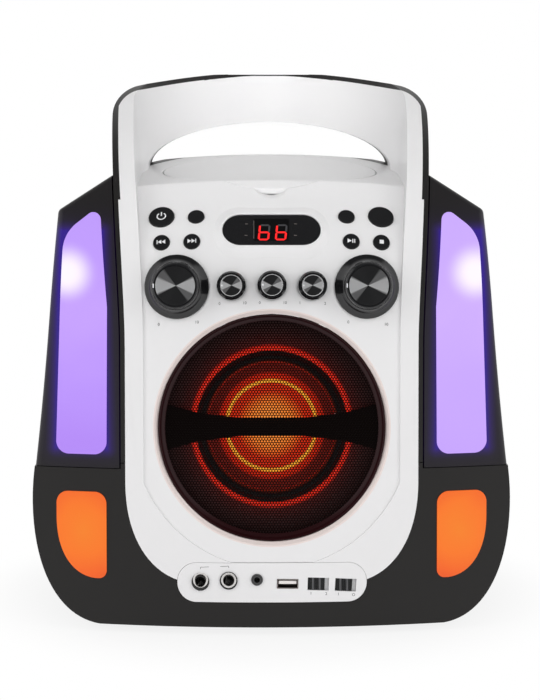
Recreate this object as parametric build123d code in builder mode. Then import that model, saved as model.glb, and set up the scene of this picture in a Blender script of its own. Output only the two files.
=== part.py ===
"""Karaoke machine with a top disc tray, two light columns and a ring-lit speaker.

Millimetres, +Z up, front towards -Y, origin under the middle of the feet.
"""

from math import asin, atan, cos, degrees, hypot, pi, radians, sin, sqrt, tan
import os

from build123d import *

os.makedirs("parts", exist_ok=True)

# ---------------------------------------------------------------- driving dimensions
# Feet and base
foot_height = 5.0
foot_radius = 9.5
foot_spacing_x = 176.0
foot_spacing_y = 160.0
base_half_width = 152.2  # widest point of the base, seen from the front
base_widest_z = 82.0
base_floor_half_width = 109.0
base_top_z = 103.4

# Front skin: a leaning straight part that runs into an elliptical crown, bowed sideways
skin_lean = 5.0
crown_centre_y = 89.5
crown_centre_z = 200.0
crown_reach_y = 189.0
crown_reach_z = 156.0
bow_radius = 600.0
bow_tilt = 40.0
bow_point_y = -97.5
bow_point_z = 250.0
bow_sweep = 42.0

# Body in plan
body_rear_y = 116.0
body_side_taper = 6.0
body_rear_corner = 45.0
tower_rear_y = 115.0
tower_rear_arc = 85.0

# Tower outline, seen from the front
tower_half_width = 95.3
tower_shoulder_half_width = 104.9
tower_flare_z = 180.0
tower_flare_pull = 29.0
tower_shoulder_z = 322.0
tower_top_z = 357.0
tower_crown_corner_x = 106.6
tower_crown_corner_z = 341.9
tower_corner_radius = 19.0
tower_rear_rounding = 26.0
rim_width = 2.9  # black edge of the rear shell around the white panel
rim_foot_z = 107.4

vent_z = 165.0
vent_pitch = 7.0
vent_count = 9
vent_width = 90.0
vent_height = 2.6

# Walls and gaps
shell_wall = 2.8
panel_wall = 3.0
seam_gap = 0.5
groove_width = 0.9
fit_gap = 0.2

# White front panel
panel_foot_z = 33.5
panel_foot_half_width = 56.0
panel_mouth_y = -85.0
recess_depth = 1.5
recess_half_width = 80.8
recess_arc_radius = 88.0
recess_deck_half_width = 87.0
control_curve_z = 211.9
control_slope = 45.0
control_curve_radius = 79.7
crease_y = -52.2
crease_z = 283.6
crease_radius = 4.0
deck_rear_y = 86.0
deck_rear_z = 298.2
deck_tail_fall = 5.5

# Handle that wraps the disc lid
pocket_centre_y = 13.5
pocket_rear_reach = 82.5
pocket_draft = 5.4
handle_liner = 10.2
hand_arch_half_width = 84.0
hand_arch_z = 290.0
hand_arch_rise = 31.3

# Light columns beside the tower
wing_foot_half_width = 150.3
wing_shoulder_half_width = 136.4
wing_shoulder_z = 264.5
wing_top_slope = 32.8
wing_edge_round = 5.0
wing_shoulder_round = 4.5
lens_stand = 0.7
lens_flange = 2.5
lens_flange_wall = 1.6
lens_fit = 0.05
board_thickness = 1.6
led_board_x = 119.0
led_board_width = 14.0
column_board_y = -50.0
column_board_z = 178.0
column_board_height = 130.0
base_board_y = -78.0
base_board_z = 62.0
base_board_height = 40.0

# Finger scoop in front of the lid
scoop_z = 280.1
scoop_radius = 18.0
scoop_depth = 3.75

# Speaker
speaker_z = 129.8
speaker_mouth_radius = 71.8
speaker_ring_radius = 74.9
speaker_bevel = 2.2
speaker_ring_depth = 15.0
grille_radius = 71.4
grille_edge_depth = 9.0
grille_dome = 5.0
grille_sheet = 0.9
light_ring_radius = 49.8
light_ring_wire = 1.4
surround_lip = 48.3
surround_rise = 2.8
surround_sheet = 0.6
cone_outer = 41.0
cap_radius = 16.5
cap_rise = 4.5
cone_depth = 15.0
basket_wall = 1.2
basket_radius = 28.0
basket_window_count = 6
basket_window_size = 16.0
basket_window_x = 41.0
basket_window_low = 40.0
magnet_depth = 46.0
magnet_radius = 36.0
magnet_height = 16.0
bar_half_height = 5.7
bar_thickness = 2.0
bar_end_gap = 0.05

speaker_flange_radius = 77.6
light_ring_depth = 15.6
frame_radius = 70.0
frame_opening = 47.6
frame_front_depth = 17.5
frame_plate = 2.5
former_radius = 12.2
former_wall = 0.6
bar_depth = 11.0
bar_end_half_height = 15.5
bar_knee_x = 46.5
bar_knee_half_height = 9.0
bar_waist_x = 20.0

# Jack plate
jack_plate_half_width = 59.6
jack_plate_low_z = 20.8
jack_plate_high_z = 45.4
jack_plate_corner = 12.0
mic_jack_x = (-45.0, -27.3)
mic_jack_z = 35.0
mic_plug_radius = 3.25
mic_jack_nut = 5.6
mic_jack_length = 30.0
aux_jack_x = -9.5
aux_jack_z = 35.2
aux_plug_radius = 1.8
aux_jack_nut = 3.7
aux_jack_length = 14.0
usb_x = 9.7
usb_z = 32.5
usb_width = 13.1
usb_height = 5.7
usb_depth = 17.0
usb_shell = 0.4
usb_stand = 0.4
usb_tongue = 1.9
usb_tongue_width = 11.1
usb_tongue_rise = 0.8
switch_x = (29.0, 46.3)
switch_z = 32.7
switch_slot_width = 13.4
switch_slot_height = 8.0
switch_cap_width = 10.6
switch_travel = 2.4
switch_stem = 3.0
switch_body_depth = 9.0
switch_cap_top = -0.3
switch_rib = 0.6
switch_rib_count = 7
jack_nose = 1.6
nut_height = 1.2
mic_nose_radius = 4.6
mic_body = 13.0
aux_nose_radius = 2.9
aux_body = 8.0

# Rear sockets and screws
socket_z = 62.0
inlet_x = 62.0
inlet_width = 22.0
inlet_height = 13.0
inlet_depth = 18.0
inlet_pin_offset = 4.2
av_nose = 1.0
av_bore = 3.4
main_board_y = 92.0
main_board_z = 60.0
main_board_width = 150.0
main_board_height = 76.0
board_block_depth = 12.0
board_blocks = ((-40.0, 60.0, 40.0, 50.0), (20.0, 75.0, 24.0, 18.0), (52.0, 45.0, 30.0, 22.0))
av_x = -76.0
av_pitch = 15.0
av_count = 3
av_radius = 4.6
screw_spots = ((-84.0, 22.0), (84.0, 22.0), (-84.0, 94.0), (84.0, 94.0), (0.0, 22.0))
screw_head_radius = 3.2
screw_radius = 1.5

# Controls
big_knob_x = 59.5
big_knob_z = 219.8
big_knob_radius = 20.2
big_knob_height = 15.0
big_knob_cap = 12.3
skirt_waist = 14.6
skirt_top = 14.2
skirt_curve_radius = 15.9
skirt_curve_height = 6.0
small_knob_pitch = 25.2
small_knob_z = 218.8
small_knob_radius = 9.4
small_knob_height = 11.0
small_knob_cap = 7.2
shaft_radius = 3.0
shaft_clearance = 0.05
knob_tilt = 6.0  # lean that the shafts would have on one flat board
knob_follow = 0.4  # how far a shaft follows the bow of the face, 0 to 1
knob_lift = 0.6
shaft_hole_gap = 0.6
skirt_gap = 0.6
skirt_sink = 0.9
big_button_radius = 8.2
small_button_radius = 5.25
button_gap = 0.25
button_stand = 1.2
button_board_depth = 13.0
button_board_width = 40.0
button_board_height = 34.0
button_edge = 0.5
button_lip = 1.2
switch_clearance = 1.1
switch_size = 6.0
display_z = 252.6
display_width = 62.0
display_height = 23.0
display_land = 1.6
display_boss = 0.9
display_foot = 2.8
display_flare = 62.0
window_top = 0.6
display_board_depth = 9.0

button_flange_depth = 4.2
button_flange = 1.0
button_stem_radius = 1.8
switch_height = 4.3  # tact switch, board to plunger top
pot_depth = 5.2
pot_size = (16.0, 18.0, 8.0)
buttons = (  # name, x, centre-line height on the control face, radius
    ("power_button", -69.9, 262.9, big_button_radius),
    ("repeat_button", -47.8, 261.8, small_button_radius),
    ("previous_button", -69.5, 247.5, small_button_radius),
    ("next_button", -50.3, 247.0, small_button_radius),
    ("program_button", 47.8, 261.8, small_button_radius),
    ("light_button", 69.9, 262.9, big_button_radius),
    ("play_button", 50.3, 247.0, small_button_radius),
    ("stop_button", 69.5, 247.5, small_button_radius),
)
small_knobs = (("echo_knob", -1), ("talk_over_knob", 0), ("balance_knob", 1))
big_knobs = (("mic_volume_knob", -1), ("master_volume_knob", 1))

# Disc lid and drive
lid_radius = 72.0
lid_gap = 0.6
lid_wall = 2.6
lid_skirt_radius = 69.0
lid_skirt_inner = 67.0
lid_skirt_depth = 9.2
hold_ring_radius = 9.0
hold_ring_depth = 8.6
hinge_setback = 66.5
hinge_drop = 4.8
hinge_barrel_radius = 4.0
hinge_pin_radius = 1.5
hinge_half_length = 26.0
hinge_lug_width = 6.0
hinge_shoulder_gap = 0.9  # lid shoulder to hinge barrel
lid_heel_clearance = 0.3
lid_heel_flare = 2.1  # growth of the hollow past the shoulder's corner
lid_heel_length = 8.0
pin_clearance = 0.02
well_radius = 63.5
well_rim_depth = 9.5
well_hole = 17.0
collar_radius = 72.8
well_floor_depth = 19.0
well_wall = 2.0
disc_hub_radius = 7.45
disc_seat_radius = 15.0
disc_plane_depth = 14.6
hub_top_depth = 10.0
hub_neck_radius = 3.5
spindle_motor_radius = 12.5
feed_motor_radius = 7.5
motor_shaft_radius = 1.0
motor_boss_radius = 3.0
sled_travel = 30.0
sled_start_x = 24.0
sled_length = 18.0
sled_width = 24.0
sled_height = 6.0
sled_top_depth = 20.0
rod_offset = 9.0
rod_depth = 23.0
rod_radius = 1.5
rack_bar = 1.3
rack_reach = 38.0
lens_turret_radius = 3.0
lens_turret_depth = 16.0
pinion_direction = 234.0
damper_radius = 4.0
damper_spots = ((-40.0, 36.5), (47.5, 36.5), (-40.0, -36.5), (47.5, -36.5))
plate_depth = 27.5
plate_thickness = 2.0
plate_x = 11.0
plate_y = -2.0
plate_length = 118.0
plate_width = 92.0
gear_module = 0.8
gear_backlash = 0.1
gear_width = 2.0
feed_gear_teeth = 30
pinion_teeth = 10

# ---------------------------------------------------------------- derived places
front_reach = 140.0  # prisms start this far in front of the origin
reach = 2 * front_reach
FRONT = Plane.XZ.offset(front_reach)

bow_axis_y = bow_point_y + bow_radius * cos(radians(bow_tilt))
bow_axis_z = bow_point_z - bow_radius * sin(radians(bow_tilt))
bow_along = Vector(0, sin(radians(bow_tilt)), cos(radians(bow_tilt)))
bow_out = Vector(0, -cos(radians(bow_tilt)), sin(radians(bow_tilt)))
bow_origin = Vector(0, bow_axis_y, bow_axis_z)
bow_axis = Axis(bow_origin, bow_along)

deck_slope = atan((deck_rear_z - crease_z) / (deck_rear_y - crease_y))
lid_centre_z = crease_z + (pocket_centre_y - crease_y) * tan(deck_slope)
DECK = Plane(
    origin=(0, pocket_centre_y, lid_centre_z),
    x_dir=(1, 0, 0),
    z_dir=(0, -sin(deck_slope), cos(deck_slope)),
)


def save(piece, name):
    """Label one finished piece and write it."""
    piece.part.label = name
    export_step(piece.part, f"parts/{name}.step")


# ---------------------------------------------------------------- the bowed forms
def bow(face):
    """Solid made by swinging a centre-line profile about the leaning bow axis."""
    with BuildPart() as form:
        revolve(face, axis=bow_axis, revolution_arc=bow_sweep)
        mirror(about=Plane.YZ)
    return form.part


def skin_form(inset):
    """Everything behind the outer skin, set back by inset."""
    reach_y = crown_reach_y - inset
    reach_z = crown_reach_z - inset
    meet = atan(tan(radians(skin_lean)) * reach_z / reach_y)
    meet_y = crown_centre_y - reach_y * cos(meet)
    meet_z = crown_centre_z + reach_z * sin(meet)
    low_z = -front_reach / 3
    low_y = meet_y - (meet_z - low_z) * tan(radians(skin_lean))
    end = radians(60)
    back_y = crown_centre_y + reach_y * cos(end)
    back_z = crown_centre_z + reach_z * sin(end)
    with BuildSketch(Plane.YZ) as profile:
        with BuildLine():
            Line((low_y, low_z), (meet_y, meet_z))
            EllipticalCenterArc(
                (crown_centre_y, crown_centre_z),
                reach_y,
                reach_z,
                start_angle=60,
                arc_size=120 - degrees(meet),
            )
            Line((back_y, back_z), (back_y, low_z))
            Line((back_y, low_z), (low_y, low_z))
        make_face()
    return bow(profile.sketch)


def skin_y(z, inset):
    """Centre-line depth of the straight part of the skin at a height."""
    reach_y = crown_reach_y - inset
    reach_z = crown_reach_z - inset
    meet = atan(tan(radians(skin_lean)) * reach_z / reach_y)
    meet_y = crown_centre_y - reach_y * cos(meet)
    meet_z = crown_centre_z + reach_z * sin(meet)
    return meet_y - (meet_z - z) * tan(radians(skin_lean))


curve_start_y = skin_y(control_curve_z, recess_depth)
curve_centre_y = curve_start_y + control_curve_radius * cos(radians(skin_lean))
curve_centre_z = control_curve_z - control_curve_radius * sin(radians(skin_lean))
slope_start_y = curve_centre_y - control_curve_radius * cos(radians(control_slope))
slope_start_z = curve_centre_z + control_curve_radius * sin(radians(control_slope))


def face_form(inset):
    """Everything behind the control face and under the deck, set in by inset."""
    low_z = -front_reach / 3
    low_y = curve_start_y - (control_curve_z - low_z) * tan(radians(skin_lean))
    tail_y = tower_rear_y + front_reach / 3
    tail_z = deck_rear_z - (tail_y - deck_rear_y) * tan(radians(deck_tail_fall))
    mid = radians((skin_lean + control_slope) / 2)
    mid_y = curve_centre_y - control_curve_radius * cos(mid)
    mid_z = curve_centre_z + control_curve_radius * sin(mid)
    with BuildSketch(Plane.YZ) as profile:
        with BuildLine():
            Line((low_y, low_z), (curve_start_y, control_curve_z))
            ThreePointArc(
                (curve_start_y, control_curve_z), (mid_y, mid_z), (slope_start_y, slope_start_z)
            )
            Line((slope_start_y, slope_start_z), (crease_y, crease_z))
            Line((crease_y, crease_z), (deck_rear_y, deck_rear_z))
            Line((deck_rear_y, deck_rear_z), (tail_y, tail_z))
            Line((tail_y, tail_z), (tail_y, low_z))
            Line((tail_y, low_z), (low_y, low_z))
        make_face()
        crease = profile.vertices().sort_by_distance((crease_y, crease_z))[0]
        fillet(crease, radius=crease_radius)
        if inset:
            offset(amount=-inset)
    return bow(profile.sketch)


def bowed_plane(x, y, z, tilt):
    """Plane on a bowed surface: its origin is the centre-line point swung out to x."""
    rel = Vector(0, y, z) - bow_origin
    radial = rel.dot(bow_out)
    along = rel.dot(bow_along)
    swing = asin(x / radial)
    normal = Vector(0, -cos(radians(tilt)), sin(radians(tilt)))
    n_out = normal.dot(bow_out)
    n_along = normal.dot(bow_along)
    swung = bow_out * cos(swing) + Vector(1, 0, 0) * sin(swing)
    sideways = Vector(1, 0, 0) * cos(swing) - bow_out * sin(swing)
    return Plane(
        origin=bow_origin + bow_along * along + swung * radial,
        x_dir=sideways,
        z_dir=swung * n_out + bow_along * n_along,
    )


def on_face(x, z):
    """Plane on the control face, at centre-line height z, swung out to x."""
    if z <= control_curve_z:
        y = curve_start_y - (control_curve_z - z) * tan(radians(skin_lean))
        return bowed_plane(x, y, z, skin_lean)
    if z <= slope_start_z:
        tilt = asin((z - curve_centre_z) / control_curve_radius)
        y = curve_centre_y - control_curve_radius * cos(tilt)
        return bowed_plane(x, y, z, degrees(tilt))
    y = slope_start_y + (z - slope_start_z) / tan(radians(control_slope))
    return bowed_plane(x, y, z, control_slope)


# ---------------------------------------------------------------- outlines
def tower_outline(inset):
    """Front outline of the tower and its handle, set in by inset."""
    half = tower_half_width - inset
    shoulder = tower_shoulder_half_width - inset
    corner_x = tower_crown_corner_x - inset
    corner_z = tower_crown_corner_z - inset
    flare_mid_z = (tower_flare_z + tower_shoulder_z) / 2 - tower_flare_pull
    with BuildSketch(FRONT) as outline:
        with BuildLine():
            for side in (-1, 1):
                Line((side * half, 0), (side * half, tower_flare_z))
                Bezier(
                    (side * half, tower_flare_z),
                    (side * half, flare_mid_z),
                    (side * shoulder, tower_shoulder_z),
                )
                Line((side * shoulder, tower_shoulder_z), (side * corner_x, corner_z))
            ThreePointArc(
                (-corner_x, corner_z), (0, tower_top_z - inset), (corner_x, corner_z)
            )
            Line((-half, 0), (half, 0))
        make_face()
        corners = [v for v in outline.vertices() if abs(v.Y - corner_z) < 0.01]
        fillet(corners, radius=tower_corner_radius - inset)
    return outline.sketch


def white_outline():
    """Front outline of the white panel: the tower less its rim, narrowing to the jack plate."""
    half = tower_half_width - rim_width
    with BuildSketch(FRONT) as outline:
        add(tower_outline(rim_width))
        with BuildSketch(FRONT, mode=Mode.INTERSECT):
            with BuildLine():
                for side in (-1, 1):
                    Bezier(
                        (side * panel_foot_half_width, panel_foot_z),
                        (side * (panel_foot_half_width + 22), panel_foot_z + 5),
                        (side * half, panel_foot_z + 28),
                        (side * half, panel_foot_z + 61),
                    )
                    Line((side * half, panel_foot_z + 61), (side * half, tower_flare_z))
                    Line((side * half, tower_flare_z), (side * front_reach, tower_flare_z))
                    Line((side * front_reach, tower_flare_z), (side * front_reach, 2 * tower_top_z))
                Line((-panel_foot_half_width, panel_foot_z), (panel_foot_half_width, panel_foot_z))
                Line((-front_reach, 2 * tower_top_z), (front_reach, 2 * tower_top_z))
            make_face()
    return outline.sketch


def recess_outline():
    """Front outline of the sunk control and speaker face, up to the deck crease."""
    top_z = crease_z
    with BuildSketch(FRONT) as outline:
        with BuildLine():
            for side in (-1, 1):
                Line((side * recess_half_width, 0), (side * recess_half_width, tower_flare_z))
                Bezier(
                    (side * recess_half_width, tower_flare_z),
                    (side * recess_half_width, tower_flare_z + 48),
                    (side * recess_deck_half_width, top_z),
                )
            Line((-recess_deck_half_width, top_z), (recess_deck_half_width, top_z))
            Line((-recess_half_width, 0), (recess_half_width, 0))
        make_face()
        with BuildSketch(FRONT, mode=Mode.INTERSECT):
            with Locations((0, speaker_z)):
                Circle(recess_arc_radius)
            with Locations((0, speaker_z + front_reach)):
                Rectangle(2 * front_reach, 2 * front_reach)
    return outline.sketch


def pocket_outline(z, grow):
    """Plan outline of the space the handle wraps, at height z."""
    drift = (z - crease_z) * tan(radians(pocket_draft)) + grow
    half = recess_deck_half_width + drift
    rear = pocket_rear_reach + drift
    with BuildSketch(Plane.XY.offset(z)) as outline:
        with BuildLine():
            EllipticalCenterArc((0, pocket_centre_y), half, rear, start_angle=0, arc_size=180)
            Line((-half, pocket_centre_y), (-half, -front_reach))
            Line((-half, -front_reach), (half, -front_reach))
            Line((half, -front_reach), (half, pocket_centre_y))
        make_face()
    return outline.sketch


def pocket_form(low_z, high_z, grow):
    """Solid of the drafted pocket between two heights."""
    with BuildPart() as form:
        loft([pocket_outline(low_z, grow), pocket_outline(high_z, grow)], ruled=True)
    return form.part


def body_plan(inset):
    """Plan outline of the base and the light columns."""
    half = base_half_width - inset
    rear = body_rear_y - inset
    turn_y = -60.0
    rear_half = half - (rear - turn_y) * tan(radians(body_side_taper))
    with BuildSketch(Plane.XY) as outline:
        with BuildLine():
            Polyline(
                (-half, turn_y),
                (-half, -front_reach),
                (half, -front_reach),
                (half, turn_y),
                (rear_half, rear),
                (-rear_half, rear),
                close=True,
            )
        make_face()
        corners = outline.vertices().group_by(Axis.Y)[-1]
        fillet(corners, radius=body_rear_corner - inset)
    return outline.sketch


def tower_plan(inset):
    """Plan outline of the tower with its rounded back."""
    half = tower_crown_corner_x - inset
    arc_y = tower_rear_y - tower_rear_arc
    with BuildSketch(Plane.XY) as outline:
        with BuildLine():
            EllipticalCenterArc(
                (0, arc_y), half, tower_rear_arc - inset, start_angle=0, arc_size=180
            )
            Line((-half, arc_y), (-half, -front_reach))
            Line((-half, -front_reach), (half, -front_reach))
            Line((half, -front_reach), (half, arc_y))
        make_face()
    return outline.sketch


def base_outline(inset):
    """Front outline of the base, rounded under to its floor, set in by inset."""
    half = base_half_width - inset
    floor_half = base_floor_half_width - inset
    floor_z = foot_height + inset
    top_half = wing_foot_half_width + 0.4 - inset
    top_z = base_top_z - inset
    with BuildSketch(FRONT) as outline:
        with BuildLine():
            for side in (-1, 1):
                Bezier(
                    (side * half, base_widest_z),
                    (side * half, base_widest_z - 44),
                    (side * (floor_half + 27), floor_z + 3),
                    (side * floor_half, floor_z),
                )
                Bezier(
                    (side * half, base_widest_z),
                    (side * half, base_widest_z + 10),
                    (side * top_half, top_z),
                )
            Line((-floor_half, floor_z), (floor_half, floor_z))
            Line((-top_half, top_z), (top_half, top_z))
        make_face()
    return outline.sketch


def wing_outline(inset):
    """Front outline of the right light column, set in by inset."""
    low_z = base_top_z + seam_gap + inset
    foot = wing_foot_half_width - inset
    shoulder_x = wing_shoulder_half_width - inset
    slope = radians(wing_top_slope)
    shoulder_z = wing_shoulder_z + inset * tan(slope) - inset / cos(slope)
    inner_x = tower_half_width - 6
    inner_top = shoulder_z + (shoulder_x - inner_x) * tan(slope)
    with BuildSketch(FRONT) as outline:
        with BuildLine():
            Line((inner_x, low_z), (foot, low_z))
            Bezier(
                (foot, low_z),
                (foot - 6.7, low_z + 56),
                (shoulder_x + 2.6, shoulder_z - 49),
                (shoulder_x, shoulder_z),
            )
            Line((shoulder_x, shoulder_z), (inner_x, inner_top))
            Line((inner_x, inner_top), (inner_x, low_z))
        make_face()
        shoulder = [v for v in outline.vertices() if abs(v.Y - shoulder_z) < 0.01]
        fillet(shoulder, radius=wing_shoulder_round - inset)
    return outline.sketch


def column_lens_outline(grow):
    """Front outline of the tall light lens on the right."""
    with BuildSketch(FRONT) as outline:
        with BuildLine():
            Polyline(
                (104.3, 112.3), (136.8, 112.3), (132.0, 250.5), (109.0, 268.3), (103.6, 205.0),
                close=True,
            )
        make_face()
        radii = (8, 8, 22, 5)
        spots = ((104.3, 112.3), (136.8, 112.3), (132.0, 250.5), (109.0, 268.3))
        for (x, z), radius in zip(spots, radii):
            corner = outline.vertices().sort_by_distance((x, z))[0]
            fillet(corner, radius=radius)
        if grow:
            offset(amount=grow)
    return outline.sketch


def base_lens_outline(grow):
    """Front outline of the amber lens on the right of the base, grown by grow."""
    left = 104.5 - grow
    right = 136.6 + grow
    top = 88.6 + grow
    low = 34.0 - grow
    with BuildSketch(FRONT) as outline:
        with BuildLine():
            Line((left, top), (right, top))
            Line((right, top), (right, 72))
            Bezier((right, 72), (right, 50 - grow), (127 + grow, 35.5 - grow), (112, low))
            Line((112, low), (left, low))
            Line((left, low), (left, top))
        make_face()
        for (x, z), radius in (((left, top), 7.5), ((right, top), 7.5), ((left, low), 5)):
            corner = outline.vertices().sort_by_distance((x, z))[0]
            fillet(corner, radius=radius + grow)
    return outline.sketch


# ---------------------------------------------------------------- shared forms
def prism(outline):
    """Solid of a front outline carried through the whole depth."""
    with BuildPart() as form:
        extrude(outline, amount=-reach)
    return form.part


def column(plan):
    """Solid of a plan outline carried up past the handle."""
    with BuildPart() as form:
        extrude(plan, amount=2 * tower_top_z)
    return form.part


def mirrored(piece):
    """The same piece on the other side of the centre plane."""
    with BuildPart() as twin:
        mirror(piece.part, about=Plane.YZ)
    return twin


SKIN = skin_form(0)
SKIN_INNER = skin_form(shell_wall)
FACE = face_form(0)
FACE_INNER = face_form(panel_wall)
TOWER = prism(tower_outline(0))
TOWER_INNER = prism(tower_outline(rim_width))
TOWER_GROOVE = prism(tower_outline(-groove_width))
TOWER_COLUMN = column(tower_plan(0))
TOWER_COLUMN_INNER = column(tower_plan(shell_wall))
BODY_COLUMN = column(body_plan(0))
BODY_COLUMN_INNER = column(body_plan(shell_wall))
WHITE = prism(white_outline())
RECESS = prism(recess_outline())
HANDLE_LINER = pocket_form(crease_z - 12, 400, handle_liner)
POCKET = pocket_form(crease_z, 400, 0)

with BuildPart() as handle_limit:
    add(HANDLE_LINER)
    with BuildSketch(Plane.XY.offset(crease_z - 12)):
        Rectangle(2 * reach, 2 * reach)
    extrude(amount=-400)

with BuildPart() as hand_opening:
    with BuildSketch(Plane.XZ.offset(-20)):
        with Locations((0, hand_arch_z)):
            Ellipse(hand_arch_half_width, hand_arch_rise)
    extrude(amount=-front_reach)
    add(FACE, mode=Mode.SUBTRACT)



def rear_form(inset):
    """Everything in front of the tower's back, which rounds over into the handle top."""
    rear = tower_rear_y - inset
    top = tower_top_z - inset
    rounding = tower_rear_rounding - inset
    with BuildPart() as form:
        with BuildSketch(Plane.YZ.offset(-reach)):
            with BuildLine():
                Line((-reach, -reach), (rear, -reach))
                Line((rear, -reach), (rear, top - rounding))
                RadiusArc((rear, top - rounding), (rear - rounding, top), -rounding)
                Line((rear - rounding, top), (-reach, top))
                Line((-reach, top), (-reach, -reach))
            make_face()
        extrude(amount=2 * reach)
    return form.part


REAR_FORM = rear_form(0)
REAR_FORM_INNER = rear_form(rim_width)

with BuildPart() as white_blank:
    add(WHITE)
    add(SKIN, mode=Mode.INTERSECT)
    add(handle_limit.part, mode=Mode.INTERSECT)
    add(REAR_FORM_INNER, mode=Mode.INTERSECT)
    add(FACE_INNER, mode=Mode.SUBTRACT)

with BuildPart() as recess_cut:
    add(RECESS)
    add(FACE, mode=Mode.SUBTRACT)

with BuildPart() as pocket_cut:
    add(POCKET)
    add(FACE, mode=Mode.SUBTRACT)

# ---------------------------------------------------------------- tools for turned and flat shapes
def turned(plane, points):
    """Solid turned about a plane's normal from a profile of radius and height."""
    side = Plane(origin=plane.origin, x_dir=plane.x_dir, z_dir=-plane.y_dir)
    with BuildPart() as form:
        with BuildSketch(side):
            with BuildLine():
                Polyline(*points, close=True)
            make_face()
        revolve(axis=Axis(plane.origin, plane.z_dir))
    return form.part


def tube(plane, inner, outer, low, high):
    """Ring between two radii and two heights."""
    return turned(plane, ((inner, low), (outer, low), (outer, high), (inner, high)))


def plug(plane, radius, low, high):
    """Round plug between two heights."""
    with BuildPart() as form:
        with BuildSketch(plane.offset(low)):
            Circle(radius)
        extrude(amount=high - low)
    return form.part


def pill(plane, width, height, low, high):
    """Plug with fully rounded ends."""
    with BuildPart() as form:
        with BuildSketch(plane.offset(low)):
            SlotOverall(width, height)
        extrude(amount=high - low)
    return form.part


def block(plane, x, y, width, height, low, high):
    """Rectangular block centred at x and y of a plane, between two heights."""
    with BuildPart() as form:
        with BuildSketch(plane.offset(low)):
            with Locations((x, y)):
                Rectangle(width, height)
        extrude(amount=high - low)
    return form.part


def on_skin(x, z):
    """Plane on the outer skin, at centre-line height z, swung out to x."""
    return bowed_plane(x, skin_y(z, 0), z, skin_lean)


def deck_point(x, y, depth):
    """Point under the deck, measured from the middle of the disc."""
    return DECK.from_local_coords((x, y, -depth))


def deck_axle(x):
    """Plane square to the lid hinge, at x."""
    return Plane(
        origin=deck_point(x, hinge_setback, hinge_drop), x_dir=DECK.y_dir, z_dir=(1, 0, 0)
    )


SPEAKER = on_face(0, speaker_z)
SCREEN = on_face(0, display_z)
BOARDS = [on_face(side * 60, 255).offset(-button_board_depth) for side in (-1, 1)]


def knob_plane(x, z):
    """Plane of a knob's foot, its axis between the face's own and that of a flat board."""
    face = on_face(x, z)
    level = Vector(0, -cos(radians(knob_tilt)), sin(radians(knob_tilt)))
    axis = (face.z_dir * knob_follow + level * (1 - knob_follow)).normalized()
    return Plane(origin=face.origin + axis * knob_lift, x_dir=(1, 0, 0), z_dir=axis)


knob_planes = {}
for knob_name, side in big_knobs:
    knob_planes[knob_name] = knob_plane(side * big_knob_x, big_knob_z)
for knob_name, side in small_knobs:
    knob_planes[knob_name] = knob_plane(side * small_knob_pitch, small_knob_z)


def jack_outline(grow):
    """Front outline of the jack plate."""
    with BuildSketch(FRONT) as outline:
        with Locations((0, (jack_plate_low_z + jack_plate_high_z) / 2)):
            RectangleRounded(
                2 * (jack_plate_half_width + grow),
                jack_plate_high_z - jack_plate_low_z + 2 * grow,
                jack_plate_corner + grow,
            )
    return outline.sketch


def lid_outline(grow, tail):
    """Plan outline of the disc lid, with its hinge tongue reaching back by tail."""
    shoulder = hinge_setback - hinge_barrel_radius - hinge_shoulder_gap + grow
    with BuildSketch(DECK.offset(-20)) as outline:
        Circle(lid_radius + grow)
        with Locations((0, shoulder + lid_radius)):
            Rectangle(4 * lid_radius, 2 * lid_radius, mode=Mode.SUBTRACT)
        with Locations((0, (hinge_setback + tail) / 2)):
            Rectangle(2 * (hinge_half_length + grow / 2), hinge_setback + tail)
    return outline.sketch


with BuildPart() as jack_hole:
    extrude(jack_outline(fit_gap), amount=-(front_reach + panel_mouth_y))
with BuildPart() as lid_hole:
    extrude(lid_outline(lid_gap, hinge_barrel_radius + lid_gap), amount=40)

# ---------------------------------------------------------------- white front panel
scoop_plane = on_face(0, scoop_z)
scoop_centre = scoop_plane.from_local_coords((0, 0, scoop_radius - scoop_depth))
with BuildPart() as scoop_bowl:
    with Locations(scoop_centre):
        Sphere(scoop_radius + panel_wall - 0.6)
    add(FACE, mode=Mode.INTERSECT)
with BuildPart() as scoop_dish:
    with Locations(scoop_centre):
        Sphere(scoop_radius)

surround_height = display_boss + display_foot
surround_rim = display_land + surround_height * tan(radians(display_flare))
with BuildPart() as display_surround:
    with BuildSketch(SCREEN.offset(-display_foot)):
        SlotOverall(display_width + 2 * surround_rim, display_height + 2 * surround_rim)
    extrude(amount=surround_height, taper=display_flare)
    outward = Axis(SCREEN.origin, SCREEN.z_dir)
    fillet(display_surround.faces().sort_by(outward)[-1].edges(), radius=0.8)

panel_holes = [
    plug(SPEAKER, speaker_ring_radius, -25, 15),
    pill(SCREEN, display_width + 2 * fit_gap, display_height + 2 * fit_gap, -2, 5),
    pill(SCREEN, display_width - 4, display_height - 4, -12, 0),
    jack_hole.part,
    lid_hole.part,
    scoop_dish.part,
]
for knob_name, side in big_knobs:
    panel_holes.append(plug(knob_planes[knob_name], shaft_radius + shaft_hole_gap, -8, 3))
    panel_holes.append(plug(knob_planes[knob_name], big_knob_radius + skirt_gap, -skirt_sink, 4))
for knob_name, side in small_knobs:
    panel_holes.append(plug(knob_planes[knob_name], shaft_radius + shaft_hole_gap, -8, 3))
    panel_holes.append(plug(knob_planes[knob_name], small_knob_radius + skirt_gap, -skirt_sink, 4))
for button_name, x, z, radius in buttons:
    panel_holes.append(plug(on_face(x, z), radius + button_gap, -8, 4))

hinge_lugs = []
for side in (-1, 1):
    middle = side * (hinge_half_length + 0.3 + hinge_lug_width / 2)
    hinge_lugs.append(
        plug(deck_axle(middle), hinge_barrel_radius, -hinge_lug_width / 2, hinge_lug_width / 2)
    )

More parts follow.
